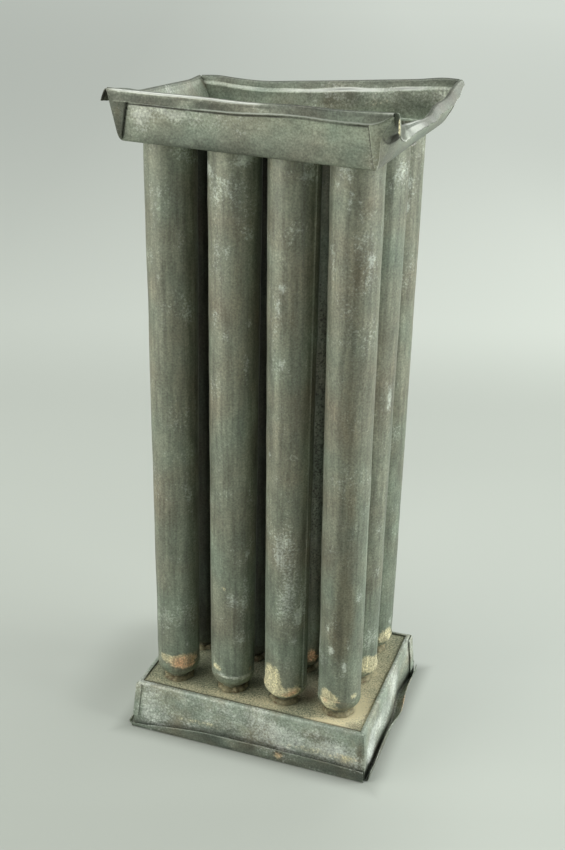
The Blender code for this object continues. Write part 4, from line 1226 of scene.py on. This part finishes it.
def corner_tab(side, end, width, stand, low, high):
    """Give a tab that wraps a corner of the skirt and lies on the wall of the given side."""
    reach = np.array((-0.02, -0.01, 0, 0.33, 0.66, 0.97, 1.0)) * width
    share = abs(end - np.clip(reach / (2 * SKIRT_FOOT_HALF[side % 2]), 0, 1))
    wall, _ = skirt_wall(side, share)
    tab = wall[(wall[:, 0, 2] > low) & (wall[:, 0, 2] < high)] + OUTWARD[side] * stand
    # Its first two columns wrap the corner, 0.35 mm beside it, 1.2 mm in and then nearly level with it
    beside = OUTWARD[(side + 1) % 4 if end else side - 1] * 0.35
    tab[:, 0] += beside - OUTWARD[side] * (stand + 1.2)
    tab[:, 1] += beside - OUTWARD[side] * stand * 0.3
    # A little painted shade lies at its free edge
    touch_and_shade = 0 * tab
    touch_and_shade[:, -2:, 1] = 0.1
    return tab, False, touch_and_shade, touch_and_shade


def make_skirt():
    """Join the four walls, their hems and the corner tabs into one folded skirt."""
    parts = []
    for side in range(4):
        count = (110, 84)[side % 2]
        share = np.arange(count + 1) / count
        wall, foot = skirt_wall(side, share)
        worn_and_shaded = skirt_touch_and_shade(side, share, wall)
        parts.append((wall, False, worn_and_shaded, worn_and_shaded))
        places, width, lean = SKIRT_HEM_LINE[side]
        hem = turned_hem(foot, OUTWARD[side], along((places, width), share), along((places, lean), share), -1)
        worn_and_shaded = hem_touch_and_shade(share, 0.2, SKIRT_EDGE_RUB_AND_HIGHLIGHT[side], 0, SKIRT_HEM_SHADE[side])
        parts.append((hem, False, worn_and_shaded, shaded_within(worn_and_shaded, along(SKIRT_HEM_INNER_SHADE[side], share))))
    points, faces, *skins = weld(parts)
    tab_points, tab_faces, *tab_skins = weld([corner_tab(*row) for row in CORNER_TABS], 0.001)
    faces += [[i + len(points) for i in face] for face in tab_faces]
    skins = [np.concatenate(pair) for pair in zip(skins, tab_skins)]
    return sheet_piece("folded_skirt", np.concatenate((points, tab_points)), faces, skins, SKIRT_STAINS,
                       SKIRT_TOUCH_AND_SHADE)


# The same hand-folded tinplate, nearer the damp: bluish grey-green, more bloom along its foot
SKIRT_TIN = tarnished_tin("tarnished_skirt_tin", "#99a494", "#aca68e", "#dfe5db", 14, 40, (0.6, 1, 1), 0.12,
                          1.1, 1.44, 0.4, 0.46)
stand_for(make_skirt(), "base_skirt", SKIRT_TIN)

# Studio
# A pale seamless sheet, two broad soft lights with two small ones behind and above, an even surround,
# and the camera.

CAMERA_AZIMUTH_DEG = 18.94
CAMERA_ELEVATION_DEG = 24.78
CAMERA_DISTANCE = 535.5
CAMERA_ROLL_DEG = 1.30
CAMERA_TARGET = np.array((-0.47, -0.37, 139.58))
LENS = 54.02
SURROUND = "#c9d1c8"


def hang(name, data, azimuth_deg, elevation_deg, distance, roll_deg=0):
    """Put an object at an azimuth right of the front, an elevation and a distance, looking at the mould.

    Its view's sideways and upward directions turn by the roll; the place is in millimetres.
    """
    azimuth, elevation, roll = np.radians((azimuth_deg, elevation_deg, roll_deg))
    level = np.array((np.cos(azimuth), np.sin(azimuth), 0))
    back = np.array((np.sin(azimuth), -np.cos(azimuth), 0)) * np.cos(elevation) + UP * np.sin(elevation)
    above = np.cross(back, level)
    right = level * np.cos(roll) + above * np.sin(roll)
    top = above * np.cos(roll) - level * np.sin(roll)
    matrix = np.eye(4)
    matrix[:3] = np.stack((right, top, back, (CAMERA_TARGET + distance * back) * MM), 1)
    hung = bpy.data.objects.new(name, data)
    scene.collection.objects.link(hung)
    hung.matrix_world = Matrix(matrix.tolist())
    return hung


camera_data = bpy.data.cameras.new("camera")
camera_data.lens = LENS
camera_data.sensor_width = 36
scene.camera = hang("camera", camera_data, CAMERA_AZIMUTH_DEG, CAMERA_ELEVATION_DEG, CAMERA_DISTANCE,
                    CAMERA_ROLL_DEG)
# Soft lights: azimuth, elevation, size in mm, watts and colour, each a metre away
for name, azimuth, elevation, size, watts, colour in (
        ("left_box", -52, 15, 900, 9.4, (1.0, 1.0, 0.97)), ("right_box", 98, 20, 700, 11, (0.98, 1.0, 1.0)),
        ("back_box", 158, 24, 500, 1.2, (1.0, 1.0, 1.0)), ("top_box", -60, 70, 600, 3.0, (1.0, 1.0, 1.0))):
    light = bpy.data.lights.new(name, "AREA")
    light.size = size * MM
    light.energy = watts
    light.color = colour
    hang(name, light, azimuth, elevation, 1000)

# The surround is a pale wall behind, darker on the photographer's side, under a dim ceiling
world = bpy.data.worlds.new("surround")
scene.world = world
room = empty_tree(world)
heading = add_node(room, "TexCoord").outputs["Generated"]
turned = add_node(room, "VectorRotate", {"Vector": heading, "Angle": math.radians(-CAMERA_AZIMUTH_DEG)},
                  rotation_type="Z_AXIS")
_, back, up = add_node(room, "SeparateXYZ", (turned,)).outputs
behind = add_node(room, "MapRange", (back, -0.7, 0.5), interpolation_type="SMOOTHSTEP")
upward = add_node(room, "MapRange", (up, 0.4, 0.8), interpolation_type="SMOOTHSTEP")
seen = add_node(room, "LightPath").outputs["Is Camera Ray"]
colour = (0.13, 0.135, 0.12, 1)
for share, over in ((behind, (0.48, 0.51, 0.47, 1)), (upward, (0.08, 0.085, 0.095, 1)),
                    (seen, linear(SURROUND))):
    colour = add_node(room, "Mix", {0: share, 6: colour, 7: over}, data_type="RGBA")
surround = add_node(room, "Background", {"Color": colour, "Strength": 1.0})
add_node(room, "OutputWorld", (surround,))

# The floor is one pale sheet; part of its tone is its own, so that the mould's shadow stays soft
FLOOR_SIZE = 3000
edges = np.array((-FLOOR_SIZE, FLOOR_SIZE), float)
floor = make_piece("floor", np.stack((*np.meshgrid(edges, edges), np.zeros((2, 2))), -1), 30, closed=False)
paper = bpy.data.materials.new("pale_paper")
sheet = empty_tree(paper)
place = add_node(sheet, "TexCoord").outputs["Object"]
turned = add_node(sheet, "VectorRotate", {"Vector": place, "Angle": math.radians(-CAMERA_AZIMUTH_DEG)},
                  rotation_type="Z_AXIS")
across, away, _ = add_node(sheet, "SeparateXYZ", (turned,)).outputs
# Its tone rises away from the camera and to the right, in metres from the mould's middle
far = add_node(sheet, "MapRange", (away, -0.2, 2.6, 0.85, 1.55))
rightward = add_node(sheet, "MapRange", (across, -0.8, 0.8, 0.85, 1.15))
tone = add_node(sheet, "Math", (far, rightward), operation="MULTIPLY")
# It is lit more from 0.3 m behind the mould onwards, most at the right, and less in front
lift = add_node(sheet, "MapRange", (away, 0.32, 0.52), interpolation_type="SMOOTHSTEP")
lift_size = add_node(sheet, "MapRange", (across, -0.28, 0.26, 0.28, 0.7))
tone = add_node(sheet, "Math", (lift, lift_size, tone), operation="MULTIPLY_ADD")
near = add_node(sheet, "MapRange", (away, -0.08, 0.02, -0.2, 0.14))
tone = add_node(sheet, "Math", (tone, near), operation="ADD")
# It is lighter to the right of the mould, and darker in its soft shade at the left
beside = add_node(sheet, "MapRange", (across, 0.0, 0.1), interpolation_type="SMOOTHSTEP")
beside_size = add_node(sheet, "MapRange", (away, 0.25, -0.05, 0.0, 0.42))
tone = add_node(sheet, "Math", (beside, beside_size, tone), operation="MULTIPLY_ADD")
shaded = add_node(sheet, "VectorMath", (place, (1 / (32 * MM), 1 / (60 * MM), 0), (2.25, 0, 0)),
                  operation="MULTIPLY_ADD")
shaded = add_node(sheet, "VectorMath", (shaded,), operation="LENGTH")
shaded = add_node(sheet, "MapRange", {0: shaded, 3: -0.45, 4: 0.0}, interpolation_type="SMOOTHSTEP")
tone = add_node(sheet, "Math", (tone, shaded), operation="ADD")
# Its own tone fades over the 9 mm next to the foot, where the mould keeps the light out
apart = add_node(sheet, "VectorMath", (place,), operation="ABSOLUTE")
apart = add_node(sheet, "VectorMath", (apart, (55 * MM, 43 * MM, 0)), operation="SUBTRACT")
apart_x, apart_y, _ = add_node(sheet, "SeparateXYZ", (apart,)).outputs
apart = add_node(sheet, "Math", (apart_x, apart_y), operation="MAXIMUM")
contact = add_node(sheet, "MapRange", (apart, 0.0, 9 * MM, 0.3, 1.0), interpolation_type="SMOOTHSTEP")
tone = add_node(sheet, "Math", (tone, contact), operation="MULTIPLY")
rays = add_node(sheet, "LightPath").outputs
seen = add_node(sheet, "Math", (rays["Is Camera Ray"], rays["Is Glossy Ray"]), operation="MAXIMUM")
seen = add_node(sheet, "Math", (seen, rays["Is Transmission Ray"]), operation="MAXIMUM")
seen = add_node(sheet, "Math", (seen, tone), operation="MULTIPLY")
shade = add_node(sheet, "BsdfDiffuse", (linear("#9ea39a"),))
glow = add_node(sheet, "Emission", (linear("#838782"), seen))
both = add_node(sheet, "AddShader", (shade, glow))
# Further out than 0.3 to 0.8 m at the sides and in front it fades into the surround's own tone
sideways = add_node(sheet, "Math", (across,), operation="ABSOLUTE")
sideways = add_node(sheet, "Math", (away, -0.28, sideways), operation="MULTIPLY_ADD")
forward = add_node(sheet, "Math", (away, -1.0), operation="MULTIPLY")
outer = add_node(sheet, "Math", (sideways, forward), operation="MAXIMUM")
outer = add_node(sheet, "MapRange", (outer, 0.3, 0.8), interpolation_type="SMOOTHSTEP")
outer = add_node(sheet, "Math", (outer, rays["Is Camera Ray"]), operation="MULTIPLY")
pale = add_node(sheet, "Emission", (linear(SURROUND),))
faded = add_node(sheet, "MixShader", (outer, both, pale))
add_node(sheet, "OutputMaterial", (faded,))
floor.data.materials.append(paper)

scene.view_settings.view_transform = "Standard"
